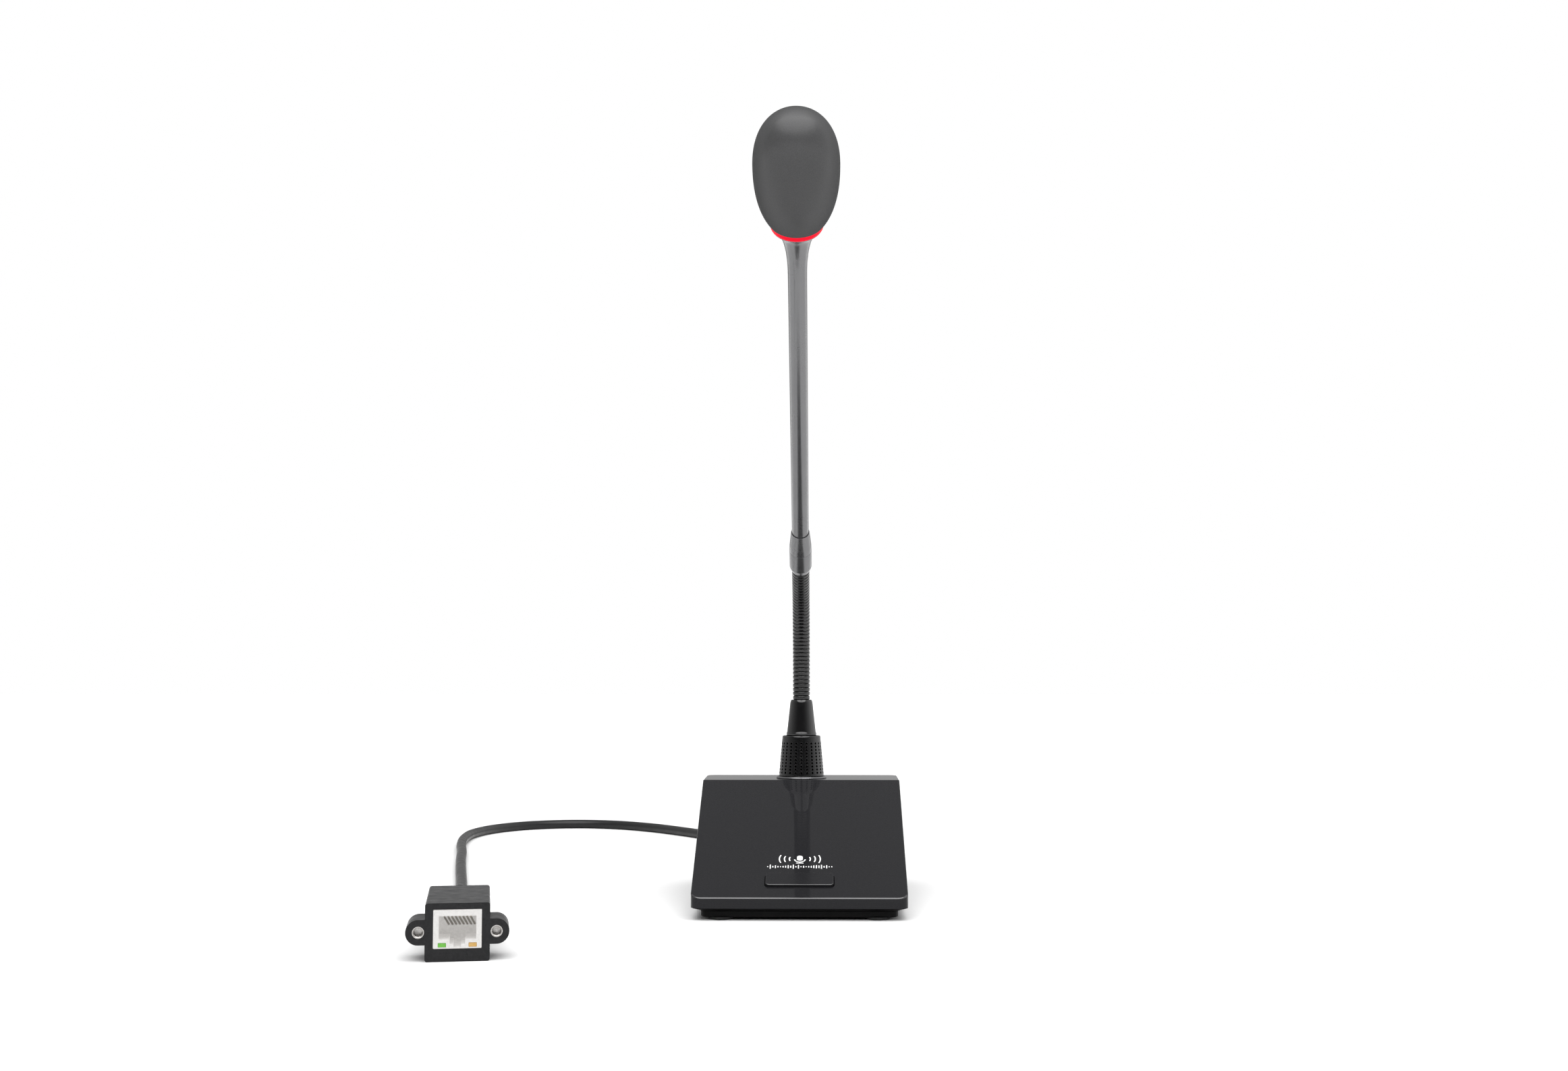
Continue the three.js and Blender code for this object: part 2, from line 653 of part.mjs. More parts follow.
// The jack's mouth is a wide slot with two narrower steps below it for the latch.
function makeJack() {
  const mouth = [
    [-6.17, 15],
    [6.17, 15],
    [6.17, 7.3],
    [2.55, 7.3],
    [2.55, 5.8],
    [1.22, 5.8],
    [1.22, 4.75],
    [-1.22, 4.75],
    [-1.22, 5.8],
    [-2.55, 5.8],
    [-2.55, 7.3],
    [-6.17, 7.3],
  ];
  const body = block(-JACK_HALF, JACK_HALF, 0.1, JACK_DEPTH, JACK_LOW, JACK_HIGH);
  const cavity = lengthwise(new THREE.Shape(mouth.map((p) => new THREE.Vector2(...p))), -1, 13.8);
  const windows = [-LED_X, LED_X].map((x) => block(x - 1.5, x + 1.5, -1, 4.4, 4.72, 6.2));
  return cut(body, cavity, ...windows);
}

function makeContactComb() {
  const spacing = 1.24;
  const count = 8;
  const bar = block(-4.75, 4.75, 11.9, 13.3, 10, 14.7);
  const fingerSide = [[2.2, 14.2], [12, 10.1], [12, 10.7], [2.2, 14.7]];
  const fingers = Array.from({ length: count }, (_, i) =>
    across(fingerSide, 0.5).translate((i - (count - 1) / 2) * spacing, 0, 0),
  );
  return join(bar, ...fingers);
}

add(connector, 'connector_housing', makeHousing(), BLACK_PLASTIC);
add(connector, 'rj45_jack', makeJack(), WHITE_PLASTIC);
add(connector, 'contact_comb', makeContactComb(), CONTACT_GOLD);
add(connector, 'led_green', block(-LED_X - 1.25, -LED_X + 1.25, 0.2, 4.1, 4.97, 5.95), LED_GREEN);
add(connector, 'led_amber', block(LED_X - 1.25, LED_X + 1.25, 0.2, 4.1, 4.97, 5.95), LED_AMBER);
[['insert_left', -EAR_X], ['insert_right', EAR_X]].forEach(([name, x]) => {
  add(connector, name, alongY(ring(1.4, 1.88, 0.3, EAR_DEPTH - 0.3, 16)).translate(x, 0, EAR_Z), BRIGHT_METAL);
});
const bootProfile = [[0, 0], [3.7, 0], [3.55, 3], [2.95, 8], [2.95, 11.2], [0, 11.2]];
const boot = alongY(turned(bootProfile, 16)).translate(0, CONNECTOR_LENGTH + GAP, BOOT_HEIGHT);
add(connector, 'connector_boot', boot, BLACK_PLASTIC);

function makeCable() {
  const route = new THREE.CatmullRomCurve3(CABLE_ROUTE.map((p) => new THREE.Vector3(...p)), false, 'centripetal');
  const sides = 8;
  const section = new THREE.Shape(
    Array.from({ length: sides }, (_, i) => {
      const angle = (2 * Math.PI * i) / sides;
      return new THREE.Vector2(CABLE_RADIUS * Math.cos(angle), CABLE_RADIUS * Math.sin(angle));
    }),
  );
  return closedGeometry(new THREE.ExtrudeGeometry(section, { steps: 62, bevelEnabled: false, extrudePath: route }));
}

add(microphone, 'network_cable', makeCable(), CABLE_JACKET);
const glandProfile = [[0, -4], [3.2, -4], [3.2, GAP], [5.4, GAP], [5.2, 3], [3.3, 20.5], [0, 20.5]];
add(base, 'cable_gland', alongY(turned(glandProfile, 16)).translate(0, BASE_DEPTH, GLAND_HEIGHT), RUBBER);

export default microphone;
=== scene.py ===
"""Gooseneck podium microphone: the looks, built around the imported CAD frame.

Sizes are in millimetres where a name says so, and become metres in each mesh through MM.
The talker sits towards -Y, and X = 0 is the mirror plane of the base, neck and head.
"""

import json
import math

import bmesh
import bpy
from mathutils import Matrix, Vector


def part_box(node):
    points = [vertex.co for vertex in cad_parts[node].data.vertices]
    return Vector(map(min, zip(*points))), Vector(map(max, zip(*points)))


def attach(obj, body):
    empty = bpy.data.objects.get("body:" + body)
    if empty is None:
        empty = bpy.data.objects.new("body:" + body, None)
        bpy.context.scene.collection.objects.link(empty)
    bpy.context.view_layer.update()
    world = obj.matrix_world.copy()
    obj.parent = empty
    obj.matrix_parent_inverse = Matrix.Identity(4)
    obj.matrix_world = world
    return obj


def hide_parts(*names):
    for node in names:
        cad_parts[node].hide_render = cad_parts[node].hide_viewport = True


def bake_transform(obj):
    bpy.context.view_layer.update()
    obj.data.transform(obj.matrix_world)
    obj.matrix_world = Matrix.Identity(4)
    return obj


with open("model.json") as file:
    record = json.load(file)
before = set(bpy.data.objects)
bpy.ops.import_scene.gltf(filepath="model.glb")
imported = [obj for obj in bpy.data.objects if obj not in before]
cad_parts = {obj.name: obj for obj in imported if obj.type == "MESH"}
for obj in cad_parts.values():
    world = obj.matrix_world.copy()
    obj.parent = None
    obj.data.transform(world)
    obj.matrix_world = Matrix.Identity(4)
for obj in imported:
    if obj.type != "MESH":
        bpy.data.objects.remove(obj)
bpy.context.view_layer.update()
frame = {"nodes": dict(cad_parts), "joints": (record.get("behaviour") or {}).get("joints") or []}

MM = 0.001
NODES = frame["nodes"]
JOINTS = {joint["name"]: joint for joint in frame["joints"]}


def corners_mm(node):
    """Lowest and highest corner of a CAD node, in millimetres."""
    low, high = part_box(node)
    return low / MM, high / MM


# ---------------- places and driving sizes, mostly from the frame

COVER_LOW, COVER_HIGH = corners_mm("top_cover")
FRONT_Y = COVER_LOW.y
BASE_DEPTH = COVER_HIGH.y - COVER_LOW.y
RIM_HEIGHT = COVER_LOW.z
LEDGE_HEIGHT = COVER_HIGH.z
FRONT_HALF = 42.1
REAR_HALF = 43.3
FRONT_HEIGHT = 8.9
PANEL_DEPTH = 92.5
WALL = 2.2
PANEL_TILT = math.atan2(LEDGE_HEIGHT - FRONT_HEIGHT, PANEL_DEPTH)

COLLAR_LOW, COLLAR_HIGH = corners_mm("grip_collar")
COLLAR_Y = (COLLAR_LOW.y + COLLAR_HIGH.y) / 2
NECK_BASE_Z = corners_mm("cone_boot")[1].z

HEAD_AXIS = Vector(JOINTS["windscreen_pull"]["axis"])
HEAD_TILT = math.atan2(-HEAD_AXIS.y, HEAD_AXIS.z)
NECK_STRAIGHT = 7.6
NECK_BEND_LENGTH = 47.0
NECK_LENGTH = 66.8
BEND_RADIUS = NECK_BEND_LENGTH / HEAD_TILT
FIRST_HINGE = 4.2
HINGE_STEP = 8.3
HINGE_COUNT = 8

GLAND_LOW, GLAND_HIGH = corners_mm("cable_gland")
GLAND_Z = (GLAND_LOW.z + GLAND_HIGH.z) / 2
CONNECTOR_TURN = math.radians(10.33)
CONNECTOR_PLACE = (-112.75, -108.3)
CONNECTOR_WIDTH = 21.4
CONNECTOR_LENGTH = 49.5
CONNECTOR_HEIGHT = corners_mm("connector_housing")[1].z

PANEL_FRAME = Matrix.Translation((0, FRONT_Y, FRONT_HEIGHT)) @ Matrix.Rotation(PANEL_TILT, 4, "X")
BASE_FRAME = Matrix.Translation((0, FRONT_Y, 0))
COLLAR_FRAME = Matrix.Translation((0, COLLAR_Y, 0))
CONNECTOR_FRAME = Matrix.Translation((*CONNECTOR_PLACE, 0)) @ Matrix.Rotation(CONNECTOR_TURN, 4, "Z")
LIE_BACK = Matrix.Rotation(-math.pi / 2, 4, "X")  # turns +Z to +Y
GLAND_FRAME = Matrix.Translation((0, FRONT_Y + BASE_DEPTH, GLAND_Z)) @ LIE_BACK


def neck_at(distance):
    """Frame of the neck's centre line at a distance along it: local Z runs along the neck."""
    bent = min(max(distance - NECK_STRAIGHT, 0), NECK_BEND_LENGTH)
    after = max(0, distance - NECK_STRAIGHT - NECK_BEND_LENGTH)
    tilt = bent / BEND_RADIUS
    y = COLLAR_Y - BEND_RADIUS * (1 - math.cos(tilt)) - after * math.sin(tilt)
    z = NECK_BASE_Z + min(distance, NECK_STRAIGHT) + BEND_RADIUS * math.sin(tilt) + after * math.cos(tilt)
    return Matrix.Translation((0, y, z)) @ Matrix.Rotation(tilt, 4, "X")


HEAD_FRAME = neck_at(NECK_LENGTH)


# ---------------- camera


def make_camera():
    """Almost level, just above the base and a little to its right."""
    data = bpy.data.cameras.new("camera")
    data.sensor_width = 36
    data.lens = 41.83
    data.clip_start = 0.02
    data.clip_end = 30
    camera = bpy.data.objects.new("camera", data)
    camera.location = Vector((6.85, -720.24, 97.28)) * MM
    pitch_up = 0.0726
    turn_left = 0.0179
    camera.rotation_euler = (math.pi / 2 + pitch_up, 0, turn_left)
    bpy.context.scene.collection.objects.link(camera)
    bpy.context.scene.camera = camera


make_camera()


# ---------------- material helpers


class Nodes:
    """A node tree and short calls that the materials and the world share."""

    def __init__(self, tree):
        self.tree = tree

    def link(self, output, socket):
        self.tree.links.new(output, socket)

    def ramp(self, factor, low, high, start=0.3, end=0.7):
        """Maps a factor from start..end to low..high."""
        node = self.tree.nodes.new("ShaderNodeMapRange")
        limits = {"From Min": start, "From Max": end, "To Min": low, "To Max": high}
        for name, value in limits.items():
            node.inputs[name].default_value = value
        self.link(factor, node.inputs["Value"])
        return node.outputs["Result"]

    def math(self, operation, *values):
        """One Math node, whose values are numbers or the outputs of other nodes."""
        node = self.tree.nodes.new("ShaderNodeMath")
        node.operation = operation
        for value, socket in zip(values, node.inputs):
            if isinstance(value, (int, float)):
                socket.default_value = value
            else:
                self.link(value, socket)
        return node.outputs[0]


class Shader(Nodes):
    """A Principled material and short calls for the nodes that feed it."""

    def __init__(self, name, color, roughness, metallic=0.0, **sockets):
        self.material = bpy.data.materials.new(name)
        self.material.use_nodes = True
        super().__init__(self.material.node_tree)
        self.principled = self.tree.nodes["Principled BSDF"]
        self.coordinates = self.tree.nodes.new("ShaderNodeTexCoord").outputs["Object"]
        self.set("Base Color", (*color, 1))
        self.set("Roughness", roughness)
        self.set("Metallic", metallic)
        for socket, value in sockets.items():
            self.set(socket.replace("_", " "), value)

    def set(self, socket, value):
        self.principled.inputs[socket].default_value = value

    def noise(self, size_mm, detail=2.0, roughness=0.5):
        """Smooth noise whose features are about size_mm across."""
        node = self.tree.nodes.new("ShaderNodeTexNoise")
        node.inputs["Scale"].default_value = 1 / (size_mm * MM)
        node.inputs["Detail"].default_value = detail
        node.inputs["Roughness"].default_value = roughness
        self.link(self.coordinates, node.inputs["Vector"])
        return node.outputs["Fac"]

    def cells(self, size_mm):
        """Distances in cells about size_mm across."""
        node = self.tree.nodes.new("ShaderNodeTexVoronoi")
        node.inputs["Scale"].default_value = 1 / (size_mm * MM)
        self.link(self.coordinates, node.inputs["Vector"])
        return node.outputs["Distance"]

    def blend_colors(self, factor, first, second):
        node = self.tree.nodes.new("ShaderNodeMix")
        node.data_type = "RGBA"
        self.link(factor, node.inputs["Factor"])
        node.inputs["A"].default_value = (*first, 1)
        node.inputs["B"].default_value = (*second, 1)
        return node.outputs["Result"]

    def color_from(self, factor, first, second, start=0.3, end=0.7):
        mixed = self.blend_colors(self.ramp(factor, 0, 1, start, end), first, second)
        self.link(mixed, self.principled.inputs["Base Color"])
        return self

    def roughness_from(self, factor, low, high):
        self.link(self.ramp(factor, low, high), self.principled.inputs["Roughness"])
        return self

    def glow(self, color, strength):
        """Light of one colour, with its strength from a node."""
        self.set("Emission Color", (*color, 1))
        self.link(strength, self.principled.inputs["Emission Strength"])

    def bump(self, height, depth_mm):
        """Bump whose full height is depth_mm; a second call adds to the first."""
        node = self.tree.nodes.new("ShaderNodeBump")
        node.inputs["Strength"].default_value = 1.0
        node.inputs["Distance"].default_value = depth_mm * MM
        self.link(height, node.inputs["Height"])
        normal = self.principled.inputs["Normal"]
        if normal.is_linked:
            self.link(normal.links[0].from_socket, node.inputs["Normal"])
        self.link(node.outputs["Normal"], normal)
        return self


# ---------------- materials


def cover_gloss():
    """Deep black lacquer with a very faint orange peel and soft handling marks."""
    shader = Shader("cover_gloss", (0.015, 0.015, 0.0165), 0.06, IOR=1.5, Specular_IOR_Level=0.1)
    shader.roughness_from(shader.noise(9, 3), 0.02, 0.035)
    shader.color_from(shader.noise(0.5, 2), (0.0135, 0.0135, 0.015), (0.0175, 0.0175, 0.019))
    return shader.bump(shader.noise(1.6, 1), 0.0005).material


def cover_edge_highlight():
    """The cover's front edge with a painted highlight: the lacquer with a stronger reflection, so that the
    edge shows a bright line.
    """
    shader = Shader("cover_edge_highlight", (0.017, 0.017, 0.019), 0.12, IOR=1.8, Specular_IOR_Level=0.5)
    shader.roughness_from(shader.noise(3, 3), 0.1, 0.15)
    return shader.bump(shader.noise(0.8, 2), 0.0005).material


def moulded_black(name="moulded_black", tone=0.002, gloss=0.5, grain_mm=0.3, depth_mm=0.004):
    """Spark-eroded black plastic: fine grain with slightly uneven gloss."""
    shader = Shader(name, (tone, tone, tone * 1.06), gloss, IOR=1.48, Specular_IOR_Level=0.12)
    shader.roughness_from(shader.noise(4, 3), gloss - 0.06, gloss + 0.06)
    tones = (tone * 0.88, tone * 0.88, tone * 0.93), (tone * 1.2, tone * 1.2, tone * 1.26)
    shader.color_from(shader.noise(grain_mm * 2, 2), *tones)
    return shader.bump(shader.noise(grain_mm, 3, 0.6), depth_mm).material


def button_plastic():
    shader = Shader("button_plastic", (0.015, 0.015, 0.0165), 0.12, IOR=1.5, Specular_IOR_Level=0.1)
    shader.roughness_from(shader.noise(2.5, 3), 0.09, 0.15)
    shader.color_from(shader.noise(0.5, 2), (0.0135, 0.0135, 0.015), (0.0175, 0.0175, 0.019))
    return shader.bump(shader.noise(0.8, 2), 0.0006).material


def anodised_black(name, roughness, dull, shiny, ior):
    """Black anodised aluminium of the collar and boot."""
    shader = Shader(name, (0.003, 0.003, 0.0033), roughness, IOR=ior)
    shader.roughness_from(shader.noise(1.8, 3), shiny, dull)
    shader.color_from(shader.noise(0.5, 2), (0.0026, 0.0026, 0.0029), (0.0034, 0.0034, 0.0037))
    return shader.bump(shader.noise(0.4, 2), 0.0004).material


def dimple_painted_shade():
    """Painted shade down in the collar's dimples: near-black and without any reflection."""
    shader = Shader("dimple_painted_shade", (0.001, 0.001, 0.001), 0.9, Specular_IOR_Level=0.0)
    shader.roughness_from(shader.noise(0.5, 2), 0.85, 0.95)
    return shader.bump(shader.noise(0.2, 2), 0.002).material


def neck_black():
    shader = Shader("neck_black", (0.004, 0.004, 0.0043), 0.22, IOR=1.55)
    shader.roughness_from(shader.noise(1.2, 3), 0.2, 0.24)
    shader.color_from(shader.noise(0.6, 2), (0.0036, 0.0036, 0.0039), (0.0045, 0.0045, 0.0048))
    return shader.bump(shader.noise(0.4, 2), 0.0005).material


def tube_satin():
    """Satin gunmetal finish of the long tube and its sleeve."""
    shader = Shader("tube_satin", (0.18, 0.18, 0.184), 0.26, 0.85)
    shader.roughness_from(shader.noise(5, 2), 0.25, 0.28)
    shader.color_from(shader.noise(14, 2), (0.176, 0.176, 0.18), (0.184, 0.184, 0.188))
    return shader.bump(shader.noise(0.8, 1), 0.0002).material


def bright_metal():
    shader = Shader("bright_metal", (0.62, 0.62, 0.63), 0.18, 1.0)
    shader.roughness_from(shader.noise(1.5, 3), 0.14, 0.24)
    return shader.bump(shader.noise(0.5, 2), 0.0008).material


def insert_metal():
    """Tinned brass of the threaded inserts."""
    shader = Shader("insert_metal", (0.52, 0.5, 0.48), 0.3, 0.85)
    shader.roughness_from(shader.noise(1.0, 3), 0.25, 0.36)
    shader.color_from(shader.noise(1.3, 2), (0.46, 0.44, 0.42), (0.6, 0.585, 0.57))
    return shader.bump(shader.noise(0.4, 2), 0.001).material


def dark_chrome():
    """Smoky plating of the flange round the socket."""
    shader = Shader("dark_chrome", (0.16, 0.16, 0.165), 0.3, 1.0)
    shader.roughness_from(shader.noise(1.5, 3), 0.26, 0.34)
    return shader.bump(shader.noise(0.5, 2), 0.0008).material


def plain_steel():
    shader = Shader("plain_steel", (0.42, 0.43, 0.45), 0.36, 1.0)
    shader.roughness_from(shader.noise(3, 4), 0.28, 0.5)
    shader.color_from(shader.noise(8, 3), (0.36, 0.37, 0.39), (0.48, 0.49, 0.5))
    return shader.bump(shader.noise(0.5, 3), 0.003).material


def foot_rubber():
    shader = Shader("foot_rubber", (0.008, 0.008, 0.008), 0.85)
    shader.roughness_from(shader.noise(1.5, 3), 0.75, 0.95)
    return shader.bump(shader.noise(0.3, 3), 0.01).material


def cable_jacket():
    """Satin PVC jacket, lightly scuffed."""
    shader = Shader("cable_jacket", (0.012, 0.012, 0.0125), 0.34, IOR=1.5, Specular_IOR_Level=0.3)
    shader.roughness_from(shader.noise(5, 3), 0.3, 0.42)
    shader.color_from(shader.noise(6, 3), (0.011, 0.011, 0.0115), (0.014, 0.014, 0.0145))
    return shader.bump(shader.noise(0.6, 2), 0.002).material


def foam_grey():
    """Fine open-cell foam with a smooth skin of tiny pores."""
    shader = Shader("foam_grey", (0.036, 0.036, 0.037), 0.45, Specular_IOR_Level=0.34)
    facing = shader.tree.nodes.new("ShaderNodeLayerWeight").outputs["Facing"]
    shader.link(shader.ramp(facing, 0.42, 1.0, 0.35, 0.75), shader.principled.inputs["Roughness"])
    pores = shader.cells(0.28)
    shader.color_from(pores, (0.031, 0.031, 0.032), (0.043, 0.043, 0.044), 0.15, 0.6)
    shader.bump(pores, 0.006)
    return shader.bump(shader.noise(0.5, 2), 0.004).material


def ring_glow():
    """Red light ring: a diffuser lit from inside, a little brighter over each lamp."""
    shader = Shader("ring_glow", (0.3, 0.001, 0.006), 0.4, Specular_IOR_Level=0.08)
    shader.glow((1, 0.002, 0.022), shader.ramp(shader.noise(4, 1), 0.86, 0.98))
    return shader.bump(shader.noise(0.5, 2), 0.002).material


def jack_white_painted_glow():
    """White nylon with a faint painted glow, which lightens the jack and its shaded mouth."""
    shader = Shader("jack_white_painted_glow", (0.38, 0.375, 0.367), 0.38, IOR=1.5)
    shader.roughness_from(shader.noise(2, 3), 0.3, 0.46)
    shader.color_from(shader.noise(0.6, 2), (0.36, 0.355, 0.347), (0.4, 0.395, 0.387))
    # Painted light: a faint white glow that lifts the shade in the jack's mouth.
    shader.glow((1, 0.97, 0.94), shader.ramp(shader.noise(1.2, 3), 0.25, 0.31))
    return shader.bump(shader.noise(0.5, 2), 0.002).material


def contact_metal():
    """Gold flash over nickel on the jack's contact wires."""
    shader = Shader("contact_metal", (0.3, 0.27, 0.22), 0.34, 0.9)
    shader.roughness_from(shader.noise(0.8, 3), 0.26, 0.42)
    shader.color_from(shader.noise(1.1, 2), (0.16, 0.15, 0.13), (0.3, 0.27, 0.22))
    return shader.bump(shader.noise(0.3, 2), 0.002).material


def lamp(name, edge, middle):
    """A small clear lens, paler in the middle over its lit lamp."""
    shader = Shader(name, edge, 0.2)
    glow = shader.blend_colors(shader.ramp(shader.noise(1.1, 1), 0, 1, 0.35, 0.65), edge, middle)
    shader.link(glow, shader.principled.inputs["Emission Color"])
    shader.set("Emission Strength", 0.25)
    return shader.bump(shader.noise(0.3, 2), 0.002).material


def circuit_board():
    """Green solder resist over copper tracks."""
    shader = Shader("circuit_board", (0.02, 0.13, 0.05), 0.4)
    tracks = shader.tree.nodes.new("ShaderNodeTexBrick")
    tracks.inputs["Scale"].default_value = 1 / (18 * MM)
    greens = {"Color1": (0.014, 0.1, 0.036), "Color2": (0.018, 0.12, 0.045), "Mortar": (0.035, 0.2, 0.08)}
    for socket, green in greens.items():
        tracks.inputs[socket].default_value = (*green, 1)
    tracks.inputs["Mortar Size"].default_value = 0.03
    shader.link(shader.coordinates, tracks.inputs["Vector"])
    shader.link(tracks.outputs["Color"], shader.principled.inputs["Base Color"])
    return shader.bump(tracks.outputs["Fac"], 0.03).material


def printed_white():
    shader = Shader("printed_white", (0.8, 0.8, 0.8), 0.5)
    shader.color_from(shader.noise(0.8, 2), (0.74, 0.74, 0.74), (0.86, 0.86, 0.86))
    return shader.bump(shader.noise(0.3, 2), 0.001).material


MAT = {
    "cover": cover_gloss(),
    "cover_edge_highlight": cover_edge_highlight(),
    "black": moulded_black(),
    "housing": moulded_black("housing_black", 0.017, 0.32, 0.5, 0.0006),
    "button": button_plastic(),
    "boot": anodised_black("anodised_black", 0.15, dull=0.17, shiny=0.14, ior=1.6),
    "collar": anodised_black("collar_black", 0.17, dull=0.19, shiny=0.15, ior=1.55),
    "dimple": dimple_painted_shade(),
    "neck": neck_black(),
    "tube": tube_satin(),
    "bright": bright_metal(),
    "insert": insert_metal(),
    "flange": dark_chrome(),
    "steel": plain_steel(),
    "rubber": foot_rubber(),
    "jacket": cable_jacket(),
    "foam": foam_grey(),
    "glow": ring_glow(),
    "jack": jack_white_painted_glow(),
    "gold": contact_metal(),
    "green": lamp("lamp_green", (0.09, 0.34, 0.025), (0.27, 0.46, 0.15)),
    "amber": lamp("lamp_amber", (0.46, 0.27, 0.07), (0.56, 0.46, 0.24)),
    "board": circuit_board(),
    "print": printed_white(),
}


# ---------------- mesh helpers


def mesh_object(name, points_mm, faces, material, place=Matrix.Identity(4), sharp_deg=35):
    """A mesh from points in millimetres in the frame `place`, smooth except at sharp edges."""
    mesh = bpy.data.meshes.new(name)
    mesh.from_pydata([(place @ Vector(p)) * MM for p in points_mm], [], faces)
    obj = bpy.data.objects.new(name, mesh)
    bpy.context.scene.collection.objects.link(obj)
    mesh.materials.append(material)
    tidy_mesh(obj, sharp_deg)
    return obj


def tidy_mesh(obj, sharp_deg=35):
    """Welds doubles, turns the faces outwards and marks the sharp edges."""
    work = bmesh.new()
    work.from_mesh(obj.data)
    bmesh.ops.remove_doubles(work, verts=work.verts, dist=1e-7)
    bmesh.ops.dissolve_degenerate(work, edges=work.edges, dist=1e-8)
    bmesh.ops.recalc_face_normals(work, faces=work.faces)
    work.to_mesh(obj.data)
    work.free()
    obj.data.shade_smooth()
    obj.data.set_sharp_from_angle(angle=math.radians(sharp_deg))


def ring_faces(low, high, count):
    """Quads between two loops of count points that start at the indices low and high."""
    return [[low + i, low + (i + 1) % count, high + (i + 1) % count, high + i] for i in range(count)]


def slab_faces(count, start=0):
    """Both ends and the sides of a solid whose second loop of points follows its first."""
    low = list(range(start, start + count))
    high = [i + count for i in low]
    return [low, high, *ring_faces(start, start + count, count)]


def softened(profile, radius, closed=False, steps=4):
    """A profile with its corners rounded by up to `radius`."""
    points = [Vector(p) for p in profile]
    count = len(points)
    rounded = []
    for i, corner in enumerate(points):
        if not closed and i in (0, count - 1):
            rounded.append(tuple(corner))
            continue
        before = points[i - 1] - corner
        after = points[(i + 1) % count] - corner
        reach = min(radius, 0.45 * before.length, 0.45 * after.length)
        start = corner + before.normalized() * reach
        end = corner + after.normalized() * reach
        for step in range(steps + 1):
            share = step / steps
            point = start * (1 - share) ** 2 + corner * 2 * share * (1 - share) + end * share**2
            rounded.append(tuple(point))
    return rounded


def turned(name, profile, place, material, closed=False, sides=96, sharp_deg=35):
    """A turned piece about local Z; an open profile starts and ends on the axis."""
    points = []
    rows = []
    for radius, height in profile:
        if radius < 1e-6:
            rows.append([len(points)] * sides)
            points.append((0, 0, height))
            continue
        row = []
        for k in range(sides):
            angle = 2 * math.pi * k / sides
            row.append(len(points))
            points.append((radius * math.cos(angle), radius * math.sin(angle), height))
        rows.append(row)
    faces = []
    pairs = list(zip(rows, rows[1:]))
    if closed:
        pairs.append((rows[-1], rows[0]))
    for low, high in pairs:
        for k in range(sides):
            after = (k + 1) % sides
            ids = dict.fromkeys((low[k], low[after], high[after], high[k]))
            if len(ids) > 2:
                faces.append(list(ids))
    return mesh_object(name, points, faces, material, place, sharp_deg)


def rounded_rectangle(x0, x1, y0, y1, radius, steps=6):
    """Counter-clockwise outline with round corners."""
    centres = [(x1 - radius, y1 - radius, 0), (x0 + radius, y1 - radius, 90)]
    centres += [(x0 + radius, y0 + radius, 180), (x1 - radius, y0 + radius, 270)]
    outline = []
    for x, y, start in centres:
        for step in range(steps + 1):
            angle = math.radians(start + 90 * step / steps)
            outline.append((x + radius * math.cos(angle), y + radius * math.sin(angle)))
    return outline


def prism(name, outline, bottom, top, material, place):
    """An outline in local XY raised from bottom to top."""
    points = [(x, y, bottom) for x, y in outline] + [(x, y, top) for x, y in outline]
    return mesh_object(name, points, slab_faces(len(outline)), material, place)


def round_edges(obj, radius_mm, steps=3, angle_deg=40, keep=None):
    """Bevels every edge sharper than angle_deg, or those that keep(edge) accepts."""
    work = bmesh.new()
    work.from_mesh(obj.data)
    edges = [
        edge
        for edge in work.edges
        if len(edge.link_faces) == 2
        and edge.calc_face_angle(0) > math.radians(angle_deg)
        and (keep is None or keep(edge))
    ]
    size = {"offset": radius_mm * MM, "segments": steps, "profile": 0.5}
    bmesh.ops.bevel(work, geom=edges, affect="EDGES", clamp_overlap=True, **size)
    work.to_mesh(obj.data)
    work.free()
    tidy_mesh(obj, 30)
    return obj


def apply_modifiers(obj):
    bpy.context.view_layer.update()
    depsgraph = bpy.context.evaluated_depsgraph_get()
    result = bpy.data.meshes.new_from_object(obj.evaluated_get(depsgraph))
    obj.modifiers.clear()
    obj.data = result


def carve(obj, tool, operation="DIFFERENCE"):
    """Applies an exact boolean with tool, and removes tool."""
    modifier = obj.modifiers.new("carve", "BOOLEAN")
    modifier.operation = operation
    modifier.solver = "EXACT"
    modifier.object = tool
    apply_modifiers(obj)
    bpy.data.objects.remove(tool)
    tidy_mesh(obj, 30)
    return obj


def crisp(obj):
    """Keeps wide faces flat in shading, so that only the rounded edges bend the light."""
    modifier = obj.modifiers.new("crisp", "WEIGHTED_NORMAL")
    modifier.mode = "FACE_AREA"
    modifier.weight = 100
    modifier.keep_sharp = True
    apply_modifiers(obj)
    return obj


def settle(piece, body, slot, *nodes):
    """Rides on a body and hides the CAD nodes that it stands for. Its slot argument is not used."""
    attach(piece, body)
    if nodes:
        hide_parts(*nodes)
    return piece


# ---------------- network cable

